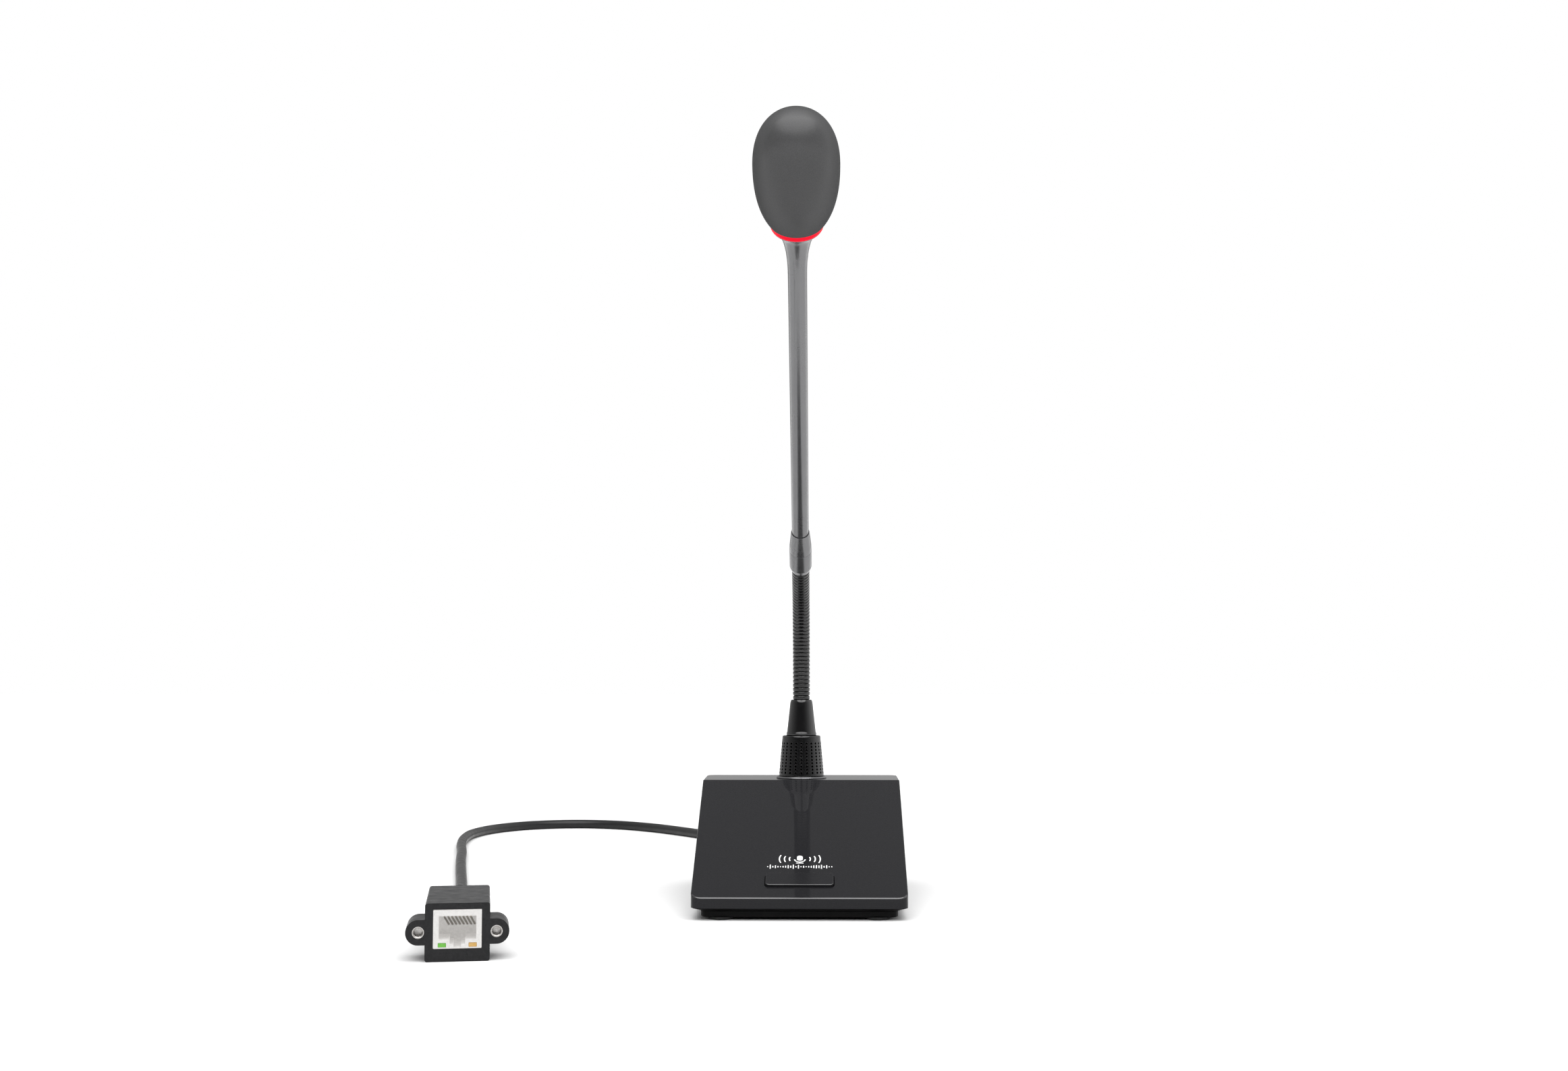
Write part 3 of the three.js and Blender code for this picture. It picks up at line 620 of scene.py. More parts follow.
CABLE_RADIUS = 2.55
CABLE_ROUTE = [
    (-123.8, -47.7, 15.5),
    (-125.7, -38.0, 14.8),
    (-128.4, -24.0, 11.8),
    (-131.6, -8.0, 7.2),
    (-134.8, 9.0, 4.0),
    (-138.6, 30.0, 2.7),
    (-143.8, 58.0, 2.6),
    (-149.8, 89.0, 2.6),
    (-160.0, 140.0, 2.6),
    (-169.0, 186.0, 2.6),
    (-176.7, 227.9, 2.6),
    (-184.0, 264.0, 2.6),
    (-189.4, 300.0, 2.6),
    (-190.4, 332.0, 2.6),
    (-183.5, 362.0, 2.6),
    (-166.5, 386.0, 2.6),
    (-141.5, 396.6, 2.6),
    (-116.0, 391.5, 2.6),
    (-92.0, 373.0, 2.6),
    (-68.0, 343.0, 2.6),
    (-47.5, 312.0, 2.6),
    (-31.0, 280.0, 2.6),
    (-19.5, 248.0, 2.6),
    (-11.5, 218.0, 3.4),
    (-5.5, 192.0, 6.2),
    (-1.6, 168.0, 9.8),
    (-0.2, 152.0, 11.6),
    (0.0, 141.0, 12.0),
]


def smooth_route(route, steps=10):
    """Centripetal Catmull-Rom curve through the route's points."""
    points = [Vector(p) for p in route]
    points = [2 * points[0] - points[1], *points, 2 * points[-1] - points[-2]]
    smooth = []
    for p0, p1, p2, p3 in zip(points, points[1:], points[2:], points[3:]):
        t1 = (p1 - p0).length ** 0.5
        t2 = t1 + (p2 - p1).length ** 0.5
        t3 = t2 + (p3 - p2).length ** 0.5
        for step in range(steps):
            t = t1 + (t2 - t1) * step / steps
            a1 = p0 * ((t1 - t) / t1) + p1 * (t / t1)
            a2 = p1 * ((t2 - t) / (t2 - t1)) + p2 * ((t - t1) / (t2 - t1))
            a3 = p2 * ((t3 - t) / (t3 - t2)) + p3 * ((t - t2) / (t3 - t2))
            b1 = a1 * ((t2 - t) / t2) + a2 * (t / t2)
            b2 = a2 * ((t3 - t) / (t3 - t1)) + a3 * ((t - t1) / (t3 - t1))
            smooth.append(b1 * ((t2 - t) / (t2 - t1)) + b2 * ((t - t1) / (t2 - t1)))
    smooth.append(points[-2])
    return smooth


def make_cable():
    """One spline of the cable's real length, from the base's gland to the connector's boot."""
    line = [p * MM for p in reversed(smooth_route(CABLE_ROUTE))]
    curve = bpy.data.curves.new("network_cord", "CURVE")
    curve.dimensions = "3D"
    spline = curve.splines.new("POLY")
    spline.points.add(len(line) - 1)
    for point, place in zip(spline.points, line):
        point.co = (*place, 1)
    curve.bevel_depth = CABLE_RADIUS * MM
    curve.bevel_resolution = 6
    curve.use_fill_caps = True
    curve.materials.append(MAT["jacket"])
    cable = bpy.data.objects.new("network_cord", curve)
    bpy.context.scene.collection.objects.link(cable)
    length = sum((b - a).length for a, b in zip(line, line[1:]))
    return settle(cable, "base", "cable_jacket", "network_cable"), line[0], length


cable, cable_exit, cable_length = make_cable()


# ---------------- base cover


def half_width(y, inset=0.0):
    return FRONT_HALF + (REAR_HALF - FRONT_HALF) * y / BASE_DEPTH - inset


def wedge(name, profile, inset, corner_mm):
    """The base's wedge: a side profile with upright corners rounded in plan."""
    points = [(side * half_width(y, inset), y, z) for side in (-1, 1) for y, z in profile]
    obj = mesh_object(name, points, slab_faces(len(profile)), MAT["cover"], BASE_FRAME)
    return round_edges(obj, corner_mm, 8, 40, is_upright)


def is_upright(edge):
    a, b = (vert.co for vert in edge.verts)
    return (a - b).xy.length < 1e-6 and abs(a.z - b.z) > 1e-6


def panel_height(y):
    return FRONT_HEIGHT + y * math.tan(PANEL_TILT)


BUTTON_HALF = 13.35
BUTTON_FRONT = 8.4
BUTTON_BACK = 17.6
BUTTON_PROUD = 1.1
BUTTON_CLEARANCE = 0.35


def button_outline(grow, radius):
    half = BUTTON_HALF + grow
    return rounded_rectangle(-half, half, BUTTON_FRONT - grow, BUTTON_BACK + grow, radius, 8)


def paint_front_edge_highlight(obj):
    """Gives the painted highlight to the faces that look forwards and up, steeper than the panel, where the
    light from above catches them.
    """
    obj.data.materials.append(MAT["cover_edge_highlight"])
    for face in obj.data.polygons:
        if face.normal.y < -0.47 and face.normal.z > 0.1 and abs(face.normal.x) < 0.7:
            face.material_index = len(obj.data.materials) - 1


def make_cover():
    """Cover shell: crisp rounded edges outside, hollow inside, with its three openings."""
    drop = WALL / math.cos(PANEL_TILT)
    ceiling = LEDGE_HEIGHT - WALL
    ceiling_start = (ceiling + drop - FRONT_HEIGHT) / math.tan(PANEL_TILT)
    outer = [(0, RIM_HEIGHT), (BASE_DEPTH, RIM_HEIGHT), (BASE_DEPTH, LEDGE_HEIGHT)]
    outer += [(PANEL_DEPTH, LEDGE_HEIGHT), (0, FRONT_HEIGHT)]
    back = BASE_DEPTH - WALL
    inner = [(WALL, RIM_HEIGHT - 3), (back, RIM_HEIGHT - 3), (back, ceiling)]
    inner += [(ceiling_start, ceiling), (WALL, panel_height(WALL) - drop)]
    cover = wedge("cover_shell", outer, 0, 4)
    rim = (RIM_HEIGHT + 0.2) * MM
    round_edges(cover, 0.45, 3, 18, lambda edge: min(v.co.z for v in edge.verts) > rim)
    carve(cover, wedge("inner_tool", inner, WALL, 2))
    slot_outline = button_outline(BUTTON_CLEARANCE, 1.8)
    carve(cover, prism("slot_tool", slot_outline, -8, 6, MAT["cover"], PANEL_FRAME))
    socket_tool = turned("socket_tool", [(0, 40), (9.1, 40), (9.1, 55), (0, 55)], COLLAR_FRAME, MAT["cover"])
    carve(cover, socket_tool)
    gland_hole = [(0, -8), (3.5, -8), (3.5, 5), (0, 5)]
    carve(cover, turned("gland_tool", gland_hole, GLAND_FRAME, MAT["cover"], sides=48))
    # Painted highlight: the front edge faces get a stronger reflection than the lacquer round them.
    paint_front_edge_highlight(cover)
    return settle(crisp(cover), "base", "cover_gloss", "top_cover")


def make_button():
    """Talk button: a low rounded bar with a soft top edge and a retaining lip below."""
    cap_bottom = -2.9
    lip_bottom, lip_top = -3.4, -2.6
    cap = prism("button_cap", button_outline(0, 1.5), cap_bottom, BUTTON_PROUD, MAT["button"], PANEL_FRAME)
    top = PANEL_FRAME @ Vector((0, 0, BUTTON_PROUD)) * MM
    normal = PANEL_FRAME.to_3x3() @ Vector((0, 0, 1))
    round_edges(cap, 0.3, 4, 40, lambda edge: all(abs((v.co - top).dot(normal)) < 1e-6 for v in edge.verts))
    lip = prism("lip_tool", button_outline(1.2, 1.8), lip_bottom, lip_top, MAT["button"], PANEL_FRAME)
    carve(cap, lip, "UNION")
    # Painted highlight on the button's front edge as well.
    paint_front_edge_highlight(cap)
    return settle(crisp(cap), "talk_button", "button_plastic", "talk_button")


SCREW_POSTS = [(-33, 20), (33, 20), (-35, 118), (35, 118)]
BOARD_POSTS = [(-28, 52), (28, 52), (-28, 112), (28, 112)]


def make_tray():
    """Bottom tray: its edge slopes in under the cover to a lower, narrower step."""
    step_levels = [(4.1, 1.0), (3.75, 1.35), (3.7, 3.2), (3.45, 3.5)]
    levels = step_levels + [(0.5, RIM_HEIGHT - 0.2), (0.5, RIM_HEIGHT - 0.1)]
    points = []
    faces = []
    for inset, height in levels:
        front = FRONT_HALF - inset
        rear = REAR_HALF - inset
        back = BASE_DEPTH - inset
        corners = [(-front, inset), (front, inset), (rear, back), (-rear, back)]
        ring = softened(corners, 4.2, closed=True, steps=8)
        points += [(x, y, height) for x, y in ring]
    count = len(ring)
    for level in range(len(levels) - 1):
        faces += ring_faces(level * count, (level + 1) * count, count)
    faces.append(list(range(count)))
    faces.append([len(points) - count + i for i in range(count)])
    tray = mesh_object("base_tray", points, faces, MAT["black"], BASE_FRAME, 25)
    for x, y in BOARD_POSTS:
        place = BASE_FRAME @ Matrix.Translation((x, y, 0))
        post = [(0, 3), (2.8, 3), (2.8, 15.7), (1.5, 15.7), (1.5, 9), (0, 9)]
        carve(tray, turned("post_tool", post, place, MAT["black"], sides=32), "UNION")
    for x, y in SCREW_POSTS:
        place = BASE_FRAME @ Matrix.Translation((x, y, 0))
        recess = [(0, -1), (3.1, -1), (3.1, 2.7), (1.7, 2.7), (1.7, 6), (0, 6)]
        carve(tray, turned("recess_tool", recess, place, MAT["black"], sides=32))
    return settle(crisp(tray), "base", "black_plastic", "bottom_pan")


make_cover()
make_button()
make_tray()


# ---------------- printed mark


def stroke(points, width):
    """Outline of a band of constant width along a line of 2-D points."""
    line = [Vector(p) for p in points]
    left = []
    right = []
    for i, point in enumerate(line):
        along = (line[min(i + 1, len(line) - 1)] - line[max(i - 1, 0)]).normalized()
        across = Vector((-along.y, along.x)) * width / 2
        left.append(point + across)
        right.append(point - across)
    return [tuple(p) for p in right] + [tuple(p) for p in reversed(left)]


def arc_points(x, y, radius, start_deg, end_deg, steps=16):
    points = []
    for step in range(steps + 1):
        angle = math.radians(start_deg + (end_deg - start_deg) * step / steps)
        points.append((x + radius * math.cos(angle), y + radius * math.sin(angle)))
    return points


def make_mark():
    """A plain sign printed above the button: a microphone with sound waves, over a level line."""
    middle = 29.7
    level = 24.2
    outlines = [
        rounded_rectangle(-1.15, 1.15, middle - 0.6, middle + 3.4, 1.14, 8),
        stroke(arc_points(0, middle + 0.4, 2.1, 180, 360), 0.5),
        stroke([(0, middle - 1.6), (0, middle - 2.6)], 0.5),
        stroke([(-1.5, middle - 2.6), (1.5, middle - 2.6)], 0.5),
    ]
    for side in (0, 180):
        for radius in (4.2, 6.2, 8.2):
            outlines.append(stroke(arc_points(0, middle + 0.7, radius, side - 22, side + 22), 0.5))
    bars = 26
    for i in range(bars):
        x = (i - (bars - 1) / 2) * 1.02
        half = 0.35 + 1.35 * abs(math.sin(1.7 * i) * math.cos(0.31 * i))
        outlines.append(rounded_rectangle(x - 0.22, x + 0.22, level - half, level + half, 0.2, 3))
    points = []
    faces = []
    for outline in outlines:
        faces += slab_faces(len(outline), len(points))
        points += [(x, y, 0.005) for x, y in outline] + [(x, y, 0.04) for x, y in outline]
    mark = mesh_object("microphone_sign", points, faces, MAT["print"], PANEL_FRAME)
    return settle(mark, "base", "jack_plastic")


make_mark()


# ---------------- feet, bezel, collar, boot


def make_feet():
    for i in range(1, 5):
        low, high = corners_mm(f"foot_{i}")
        place = Matrix.Translation(((low.x + high.x) / 2, (low.y + high.y) / 2, 0))
        profile = softened([(0, 0), (4.2, 0), (4.85, 0.45), (4.85, 1.15), (0, 1.15)], 0.3)
        foot = turned(f"rubber_foot_{i}", profile, place, MAT["rubber"], sides=48)
        settle(foot, "base", "rubber", f"foot_{i}")


def make_bezel():
    inside = [(10.7, 49.35), (8.6, 49.35), (8.6, 48.2)]
    outside = [(9.05, 48.2), (9.05, 48.5), (11.13, 48.52), (11.13, 48.85)]
    profile = softened(inside + outside, 0.25, closed=True)
    bezel = turned("bezel_ring", profile, COLLAR_FRAME, MAT["flange"], closed=True)
    settle(bezel, "base", "bright_metal", "socket_bezel")


def make_collar():
    """Knurled grip: ten rows of twenty-four small dimples on a tapered sleeve."""
    bottom, top = 49.45, 66.7
    low_radius, high_radius = 10.1, 8.55
    columns, rows = 24, 10
    first_row, row_step = 51.1, 1.43
    pit_radius, pit_depth, pit_edge = 0.42, 0.42, 0.02
    sides = columns * 18
    levels = 160
    outer = []
    for i in range(levels + 1):
        height = bottom + 0.3 + (top - bottom - 0.3) * i / levels
        outer.append((low_radius + (high_radius - low_radius) * (height - bottom) / (top - bottom), height))
    sleeve = [(7.1, 50.2), (7.1, 28.5), (7.9, 28.5), (7.9, bottom)]
    below = sleeve + [(low_radius - 0.25, bottom), (low_radius - 0.06, bottom + 0.1)]
    above = [(8.42, 67.05), (8.2, 67.25), (8.0, 67.3), (6.92, 67.3), (6.92, 50.2)]
    profile = below + outer + above
    points = []
    depths = []
    for radius, height in profile:
        for k in range(sides):
            angle = 2 * math.pi * (k + 0.5) / sides
            depth = 0.0
            if radius > high_radius - 0.01 and height > bottom + 0.29:
                row = min(max(round((height - first_row) / row_step), 0), rows - 1)
                up = height - first_row - row * row_step
                column = round(angle / (2 * math.pi) * columns)
                sideways = radius * (angle - column * 2 * math.pi / columns)
                reach = math.hypot(up, sideways) / pit_radius
                depth = pit_depth * min(1.0, 2.2 * max(0.0, 1 - reach))
            depths.append(depth)
            points.append(((radius - depth) * math.cos(angle), (radius - depth) * math.sin(angle), height))
    count = len(profile)
    faces = []
    for i in range(count):
        faces += ring_faces(i * sides, (i + 1) % count * sides, sides)
    collar = mesh_object("dimpled_collar", points, faces, MAT["collar"], COLLAR_FRAME, 50)
    # Painted shade: the faces down in the dimples get the near-black material without reflection.
    collar.data.materials.append(MAT["dimple"])
    for face in collar.data.polygons:
        if max(depths[k] for k in face.vertices) > pit_edge:
            face.material_index = 1
    settle(collar, "mic_plug", "black_metal", "grip_collar")


def make_boot():
    stem = [(4.05, NECK_BASE_Z), (4.05, 57), (6.5, 57), (6.5, 67.45)]
    lip = [(6.72, 67.6), (6.75, 68.2), (6.42, 68.9)]
    cone = [(4.95, 82.2), (4.55, NECK_BASE_Z)]
    profile = softened(stem + lip + cone, 0.35, closed=True)
    boot = turned("neck_boot", profile, COLLAR_FRAME, MAT["boot"], closed=True)
    settle(boot, "mic_plug", "black_metal", "cone_boot")


make_feet()
make_bezel()
make_collar()
make_boot()


# ---------------- gooseneck

RING_PITCH = 1.82
RING_CREST = 3.77
RING_GROOVE = 3.17
RING_SQUARENESS = 3.0
NECK_ENTRY = -1.6  # the rings start inside the boot
NECK_EXIT = NECK_LENGTH + 2.3  # and end inside the ferrule
NECK_SIDES = 64
STEPS_PER_RING = 14


def neck_radius(distance):
    """Round wire turns with a narrow groove between them."""
    phase = (distance / RING_PITCH) % 1.0
    bulge = max(0.0, 1 - abs(2 * phase - 1) ** RING_SQUARENESS) ** (1 / RING_SQUARENESS)
    return RING_GROOVE + (RING_CREST - RING_GROOVE) * bulge


def make_neck_skin(index, nodes):
    """The ringed skin round one hinge, from the middle of one link to the middle of the next."""
    hinge = FIRST_HINGE + HINGE_STEP * index
    start = NECK_ENTRY if index == 0 else hinge - HINGE_STEP / 2
    end = NECK_EXIT if index == HINGE_COUNT - 1 else hinge + HINGE_STEP / 2
    step = RING_PITCH / STEPS_PER_RING
    inside = [k * step for k in range(math.ceil(start / step), math.floor(end / step) + 1)]
    stations = [start] + [s for s in inside if start + 1e-3 < s < end - 1e-3] + [end]
    points = []
    for station in stations:
        place = neck_at(station)
        radius = neck_radius(station)
        for k in range(NECK_SIDES):
            angle = 2 * math.pi * k / NECK_SIDES
            points.append(place @ Vector((radius * math.cos(angle), radius * math.sin(angle), 0)))
    faces = []
    for i in range(len(stations) - 1):
        faces += ring_faces(i * NECK_SIDES, (i + 1) * NECK_SIDES, NECK_SIDES)
    last = (len(stations) - 1) * NECK_SIDES
    faces.append(list(range(NECK_SIDES)))
    faces.append([last + k for k in range(NECK_SIDES)])
    skin = mesh_object(f"neck_skin_{index + 1}", points, faces, MAT["neck"], sharp_deg=60)
    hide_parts(*nodes)
    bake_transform(skin)


def make_neck():
    for index in range(HINGE_COUNT):
        nodes = [f"neck_link_{index + 1}"] if index < HINGE_COUNT - 1 else ["neck_tip"]
        if index == 0:
            nodes.append("neck_root")
        make_neck_skin(index, nodes)


make_neck()


# ---------------- ferrule, tube and head


def make_ferrule():
    lower = [(3.2, 2.6), (3.8, 2.6), (3.8, 1.6), (4.0, 1.6), (4.72, 3.9), (4.72, 13.85), (3.2, 13.85)]
    upper = [(3.6, 13.88), (4.72, 13.88), (4.63, 17.3), (3.9, 25.2), (3.72, 25.2), (3.62, 24.8)]
    parts = [("ferrule_base", lower, "ferrule_lower"), ("ferrule_cap", upper, "ferrule_upper")]
    for name, outline, node in parts:
        profile = softened(outline, 0.12, closed=True)
        piece = turned(name, profile, HEAD_FRAME, MAT["tube"], closed=True)
        settle(piece, "head", "tube_metal", node)


def make_tube():
    """Long tube that flares into the cup under the light ring."""
    bore = 2.8
    shank = [(bore, 14.1), (3.55, 14.1), (3.55, 164.0), (3.58, 168.0), (3.7, 171.5), (4.12, 176.0)]
    flare = [(4.55, 178.6), (5.12, 181.2), (5.9, 183.6), (6.9, 185.5), (8.4, 187.0)]
    lip = [(9.2, 187.5), (9.2, 187.8)]
    inside = [(5.8, 187.8), (5.8, 183.0), (bore, 183.0)]
    profile = softened(shank + flare + lip + inside, 0.9, closed=True, steps=5)
    tube = turned("long_tube", profile, HEAD_FRAME, MAT["tube"], closed=True)
    settle(tube, "head", "tube_metal", "upper_tube")


def make_light_ring():
    outline = [(7.35, 187.95), (9.5, 187.95), (9.58, 188.9), (9.55, 190.0), (7.35, 190.0)]
    profile = softened(outline, 0.35, closed=True)
    ring = turned("glow_ring", profile, HEAD_FRAME, MAT["glow"], closed=True, sides=128)
    settle(ring, "head", "ring_red", "light_ring")


FOAM_BASE = 190.2
FOAM_WIDEST = 213.4
FOAM_TIP = 235.16
FOAM_RADIUS = 15.27
FOAM_MOUTH = 10.1


def foam_outline():
    """Egg-shaped outside of the foam from its mouth to its tip."""
    low, high = 2.25, 2.31
    outline = []
    steps = 34
    for i in range(steps + 1):
        drop = 1 - i / steps
        share = 1 - (1 - (FOAM_MOUTH / FOAM_RADIUS) ** low) * drop**low
        outline.append((FOAM_RADIUS * share ** (1 / low), FOAM_WIDEST - (FOAM_WIDEST - FOAM_BASE) * drop))
    for i in range(1, steps + 1):
        angle = math.pi / 2 * i / steps
        radius = 0.0 if i == steps else FOAM_RADIUS * math.cos(angle) ** (2 / high)
        outline.append((radius, FOAM_WIDEST + (FOAM_TIP - FOAM_WIDEST) * math.sin(angle) ** (2 / high)))
    return outline


def make_foam():
    cavity = [(0, 202.8), (5.9, 202.8), (6.2, 202.4), (6.2, 191.0), (6.6, 190.4), (9.7, 190.1)]
    profile = cavity + foam_outline()
    foam = turned("foam_windscreen", profile, HEAD_FRAME, MAT["foam"], sides=160, sharp_deg=50)
    settle(foam, "windscreen", "foam", "windscreen")


make_ferrule()
make_tube()
make_light_ring()
make_foam()


# ---------------- cable ends


def make_gland():
    """Tapered strain relief with flex slots at the rear of the base."""
    outline = [(0, -4), (3.2, -4), (3.2, 0.05), (5.4, 0.05), (5.4, 1.6), (4.8, 2.4)]
    ribs = 6
    for i in range(ribs):
        start = 4.2 + i * 2.5
        radius = 4.7 - 1.3 * (start - 4.2) / 16
        outline += [(radius - 0.75, start), (radius - 0.75, start + 0.7)]
        outline += [(radius, start + 0.9), (radius - 0.12, start + 2.3)]
    outline += [(3.3, 19.6), (2.85, 21.4), (0, 21.4)]
    profile = softened(outline, 0.25, steps=2)
    gland = turned("cable_relief", profile, GLAND_FRAME, MAT["rubber"], sides=64)
    return settle(gland, "base", "rubber", "cable_gland")


def make_connector_boot():
    """Moulded tail of the network connector, with three grip ribs."""
    place = CONNECTOR_FRAME @ Matrix.Translation((0, CONNECTOR_LENGTH, 15.5)) @ LIE_BACK
    outline = [(0, 0.05), (3.7, 0.05), (3.7, 1.4)]
    for i in range(3):
        start = 2.0 + i * 2.6
        radius = 3.65 - 0.25 * i
        outline += [(radius - 0.55, start), (radius - 0.6, start + 0.8)]
        outline += [(radius, start + 1.1), (radius - 0.05, start + 2.3)]
    outline += [(3.0, 10.6), (2.8, 12.4), (0, 12.4)]
    boot = turned("connector_tail", softened(outline, 0.25, steps=2), place, MAT["housing"], sides=64)
    return settle(boot, "base", "black_plastic", "connector_boot")


EAR_X = 12.9
EAR_Z = 9.75
EAR_RADIUS = 4.2
EAR_DEPTH = 16.0
JACK_LOW = 4.3
JACK_HIGH = 17.1
JACK_HALF = 8.0
JACK_DEPTH = 15.5
LED_X = 5.05
# In this frame XY is the connector's face seen from the front, and -Z runs into it.
FRONT_VIEW = CONNECTOR_FRAME @ Matrix.Rotation(math.pi / 2, 4, "X")


def front_prism(name, outline, front, back, material):
    """An outline in the connector's front view, running from one depth to another."""
    return prism(name, outline, -back, -front, material, FRONT_VIEW)


def make_housing():
    half = CONNECTOR_WIDTH / 2
    body_outline = rounded_rectangle(-half, half, 0, CONNECTOR_HEIGHT, 0.9)
    body = front_prism("jack_housing", body_outline, 0, CONNECTOR_LENGTH, MAT["housing"])
    left = arc_points(-EAR_X, EAR_Z, EAR_RADIUS, 90, 270, 24)
    right = arc_points(EAR_X, EAR_Z, EAR_RADIUS, -90, 90, 24)
    carve(body, front_prism("ear_tool", left + right, 0, EAR_DEPTH, MAT["housing"]), "UNION")
    round_edges(body, 0.3, 2, 50)
    pocket = rounded_rectangle(-JACK_HALF - 0.1, JACK_HALF + 0.1, JACK_LOW - 0.1, JACK_HIGH + 0.1, 0.2, 2)
    carve(body, front_prism("pocket_tool", pocket, -3, JACK_DEPTH + 0.2, MAT["housing"]))
    for side in (-1, 1):
        hole = arc_points(side * EAR_X, EAR_Z, 2.0, 0, 345, 23)
        carve(body, front_prism("hole_tool", hole, -3, EAR_DEPTH + 3, MAT["housing"]))
    return settle(crisp(body), "base", "black_plastic", "connector_housing")


def make_jack():
    """White network jack: the plug's mouth with its latch steps, and two lamp windows."""
    frame_outline = rounded_rectangle(-JACK_HALF, JACK_HALF, JACK_LOW, JACK_HIGH, 0.35, 3)
    body = front_prism("white_jack", frame_outline, 0.05, JACK_DEPTH, MAT["jack"])
    round_edges(body, 0.15, 2, 50)
    mouth = [(-6.17, 7.3), (-2.55, 7.3), (-2.55, 5.8), (-1.22, 5.8), (-1.22, 4.75), (1.22, 4.75)]
    mouth += [(1.22, 5.8), (2.55, 5.8), (2.55, 7.3), (6.17, 7.3), (6.17, 15.0), (-6.17, 15.0)]
    carve(body, front_prism("mouth_tool", mouth, -3, 13.8, MAT["jack"]))
    for side in (-1, 1):
        window = rounded_rectangle(side * LED_X - 1.38, side * LED_X + 1.38, 4.72, 6.22, 0.2, 3)
        carve(body, front_prism("window_tool", window, -3, 4.4, MAT["jack"]))
    return settle(crisp(body), "base", "jack_plastic", "rj45_jack")


def make_contacts():
    """Eight sprung wires that slope down and a little aside from the jack's roof, and their carrier."""
    spacing = 1.24
    half = 0.28
    thickness = 0.32
    # Each point of a wire: depth, height and how far it leans aside.
    wire = [(1.4, 14.85, 0.0), (2.4, 14.6, 0.0), (11.9, 10.9, 1.3), (12.6, 10.7, 1.35)]
    points = []
    faces = []
    for i in range(8):
        middle = (i - 3.5) * spacing
        start = len(points)
        for y, z, aside in wire:
            for x in (middle + aside - half, middle + aside + half):
                points += [(x, y, z), (x, y, z - thickness)]
        for k in range(len(wire) - 1):
            a = start + 4 * k
            faces += [[a, a + 2, a + 6, a + 4], [a + 1, a + 5, a + 7, a + 3], [a, a + 4, a + 5, a + 1]]
            faces.append([a + 2, a + 3, a + 7, a + 6])
        end = start + 4 * (len(wire) - 1)
        faces += [[start, start + 1, start + 3, start + 2], [end, end + 2, end + 3, end + 1]]
    comb = mesh_object("contact_wires", points, faces, MAT["gold"], CONNECTOR_FRAME)
    settle(comb, "base", "contact_gold", "contact_comb")
    carrier_outline = rounded_rectangle(-6.1, 6.1, 10.2, 14.95, 0.2, 2)
    carrier = front_prism("contact_carrier", carrier_outline, 12.3, 13.75, MAT["jack"])
    settle(carrier, "base", "jack_plastic")


def make_lamps():
    for name, side, key in (("lamp_left", -1, "green"), ("lamp_right", 1, "amber")):
        outline = rounded_rectangle(side * LED_X - 1.36, side * LED_X + 1.36, 4.74, 6.2, 0.2, 3)
        lens = front_prism(name, outline, 0.35, 4.2, MAT[key])
        round_edges(lens, 0.15, 2, 50)
        settle(crisp(lens), "base", f"led_{key}", f"led_{key}")


def make_inserts():
    """Blind metal inserts with real thread grooves."""
    for name, side, node in (("thread_left", -1, "insert_left"), ("thread_right", 1, "insert_right")):
        place = CONNECTOR_FRAME @ Matrix.Translation((side * EAR_X, 0, EAR_Z)) @ LIE_BACK
        rear = EAR_DEPTH - 0.3
        floor = 4.0
        profile = [(0, rear), (1.98, rear), (1.98, 0.12), (1.72, 0.12)]
        turns = 8
        pitch = (floor - 0.6) / turns
        for i in range(turns):
            height = 0.4 + i * pitch
            profile += [(1.7, height), (1.48, height + pitch / 2)]
        profile += [(1.6, floor), (0, floor)]
        insert = turned(name, profile, place, MAT["insert"], sides=48, sharp_deg=25)
        settle(insert, "base", "bright_metal", node)


relief = make_gland()
tail = make_connector_boot()
housing = make_housing()
jack = make_jack()
make_contacts()
make_lamps()
make_inserts()
cord_pieces = [tail, housing, jack, "contact_wires", "contact_carrier"]
cord_pieces += ["lamp_left", "lamp_right", "thread_left", "thread_right", relief]


# ---------------- materials of the CAD pieces



def numbered(stem, count):
    return [f"{stem}_{i}" for i in range(1, count + 1)]


CAD_MATERIALS = {
    "steel": ["ballast_plate", "capsule_grille", *numbered("board_screw", 4), *numbered("base_screw", 4)],
    "board": ["main_board", "switch_board", "ring_board"],
    "black": ["network_transformer", "switch_body", "mic_socket", "plug_insert", "capsule_holder"],
    "bright": ["processor_shield", "capsule", *numbered("capacitor", 2), *numbered("plug_pin", 3)],
}
for key, nodes in CAD_MATERIALS.items():
    for node in nodes:
        NODES[node].data.materials.clear()
        NODES[node].data.materials.append(MAT[key])


# ---------------- stage and light


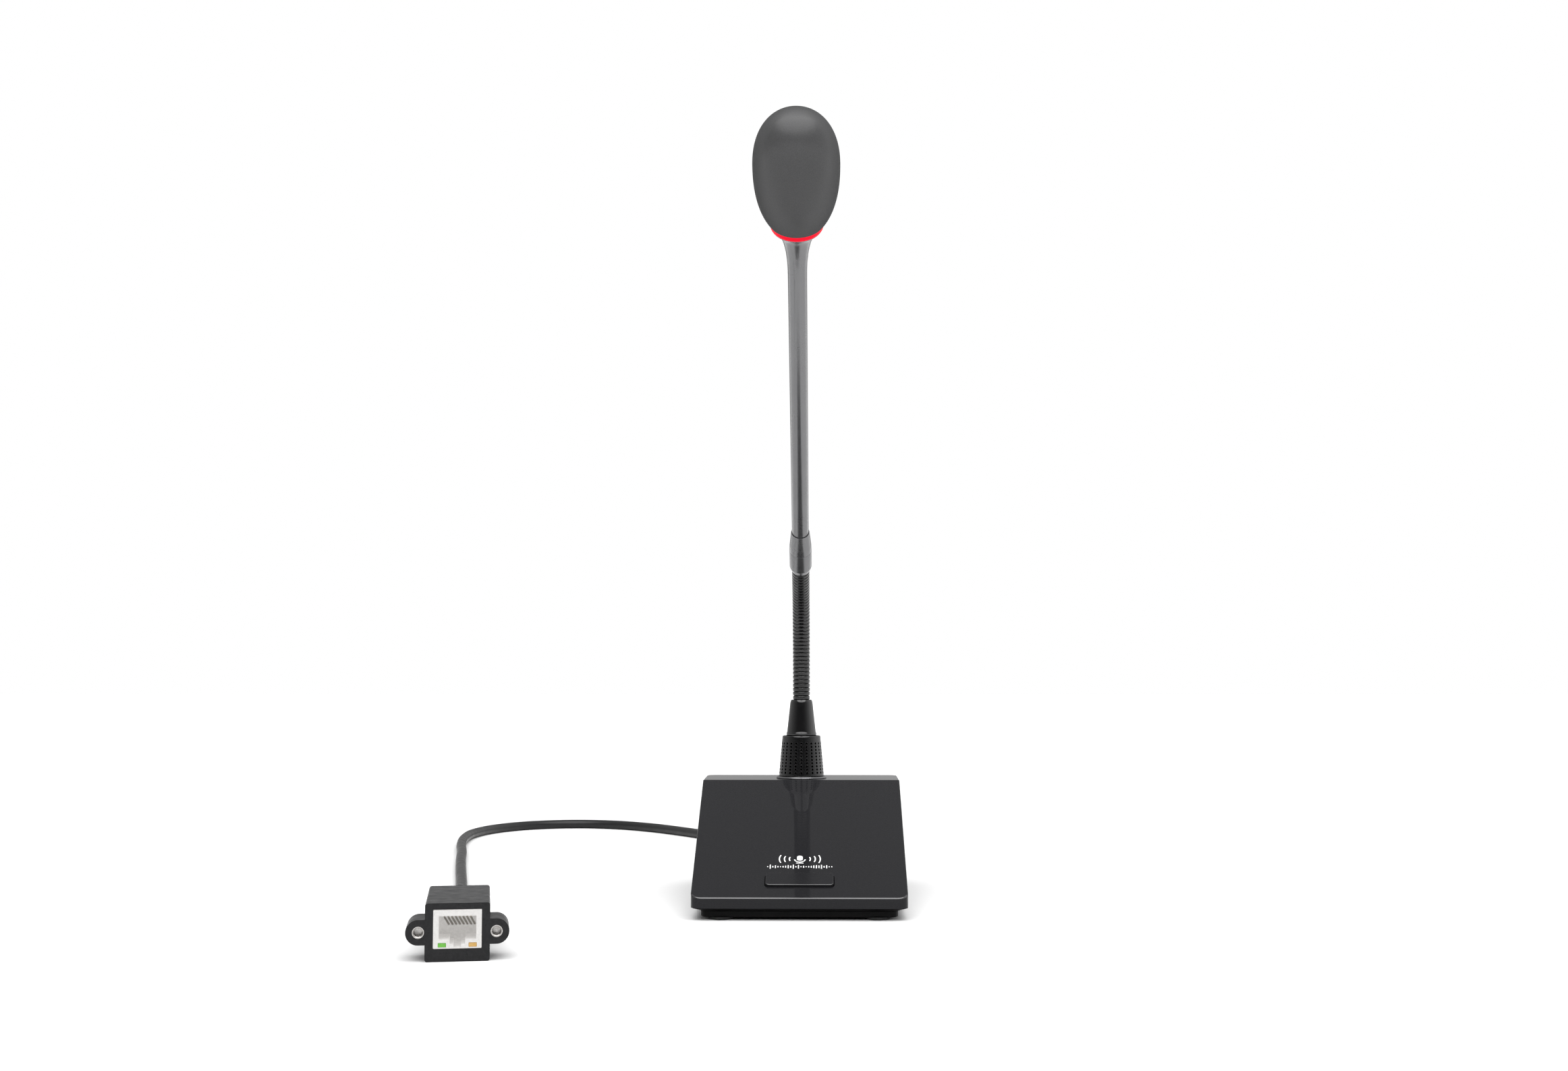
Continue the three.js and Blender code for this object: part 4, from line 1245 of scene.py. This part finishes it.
def make_floor():
    """A wide pale floor, lit by the studio near the object and evenly white far away."""
    half = 6
    mesh = bpy.data.meshes.new("floor")
    corners = [(-half, -half, 0), (half, -half, 0), (half, half, 0), (-half, half, 0)]
    mesh.from_pydata(corners, [], [(0, 1, 2, 3)])
    floor = bpy.data.objects.new("floor", mesh)
    bpy.context.scene.collection.objects.link(floor)
    shader = Shader("floor_white", (0.8, 0.8, 0.8), 0.9, Specular_IOR_Level=0.1)
    shader.color_from(shader.noise(3, 2), (0.795, 0.795, 0.795), (0.805, 0.805, 0.805))
    distance = shader.tree.nodes.new("ShaderNodeVectorMath")
    distance.operation = "LENGTH"
    shader.link(shader.coordinates, distance.inputs[0])
    shader.glow((1, 1, 1), shader.ramp(distance.outputs["Value"], 0, 0.9, 0.5, 1.5))
    mesh.materials.append(shader.material)


def make_world():
    """White behind everything. Reflections see a studio that is dark in front and bright behind,
    brighter towards both sides, and brightest to the right.
    """
    world = bpy.data.worlds.new("studio")
    bpy.context.scene.world = world
    world.use_nodes = True
    sky = Nodes(world.node_tree)
    make = sky.tree.nodes.new
    backdrop = sky.tree.nodes["Background"]
    studio = make("ShaderNodeBackground")
    for background in (backdrop, studio):
        background.inputs["Color"].default_value = (1, 1, 1, 1)
    backdrop.inputs["Strength"].default_value = 1.0
    direction = make("ShaderNodeTexCoord").outputs["Generated"]
    split = make("ShaderNodeSeparateXYZ")
    sky.link(direction, split.inputs["Vector"])
    behind = sky.ramp(split.outputs["Y"], 0.02, 0.34, -1.0, 0.1)
    rightward = sky.ramp(split.outputs["X"], 0.3, 2.2, -1.0, 1.0)
    sides = sky.math("MULTIPLY", sky.math("ABSOLUTE", split.outputs["X"]), 1.6)
    aside = sky.math("ADD", rightward, sides)
    sky.link(sky.math("MULTIPLY", behind, aside), studio.inputs["Strength"])
    path = make("ShaderNodeLightPath")
    mix = make("ShaderNodeMixShader")
    sky.link(path.outputs["Is Camera Ray"], mix.inputs["Fac"])
    sky.link(studio.outputs["Background"], mix.inputs[1])
    sky.link(backdrop.outputs["Background"], mix.inputs[2])
    sky.link(mix.outputs["Shader"], sky.tree.nodes["World Output"].inputs["Surface"])


def soft_disc(name, place, target, radius, radiance):
    """A large round soft light of a given brightness, in metres."""
    data = bpy.data.lights.new(name, "AREA")
    data.shape = "DISK"
    data.size = 2 * radius
    data.energy = radiance * math.pi * math.pi * radius**2
    light = bpy.data.objects.new(name, data)
    light.location = place
    light.rotation_euler = (Vector(target) - Vector(place)).to_track_quat("-Z", "Y").to_euler()
    light.visible_camera = False
    bpy.context.scene.collection.objects.link(light)


make_floor()
make_world()
soft_disc("front_overhead", place=(0, -0.815, 1.595), target=(0, -0.11, 0.27), radius=1.35, radiance=3.6)
bpy.context.scene.view_settings.view_transform = "Standard"
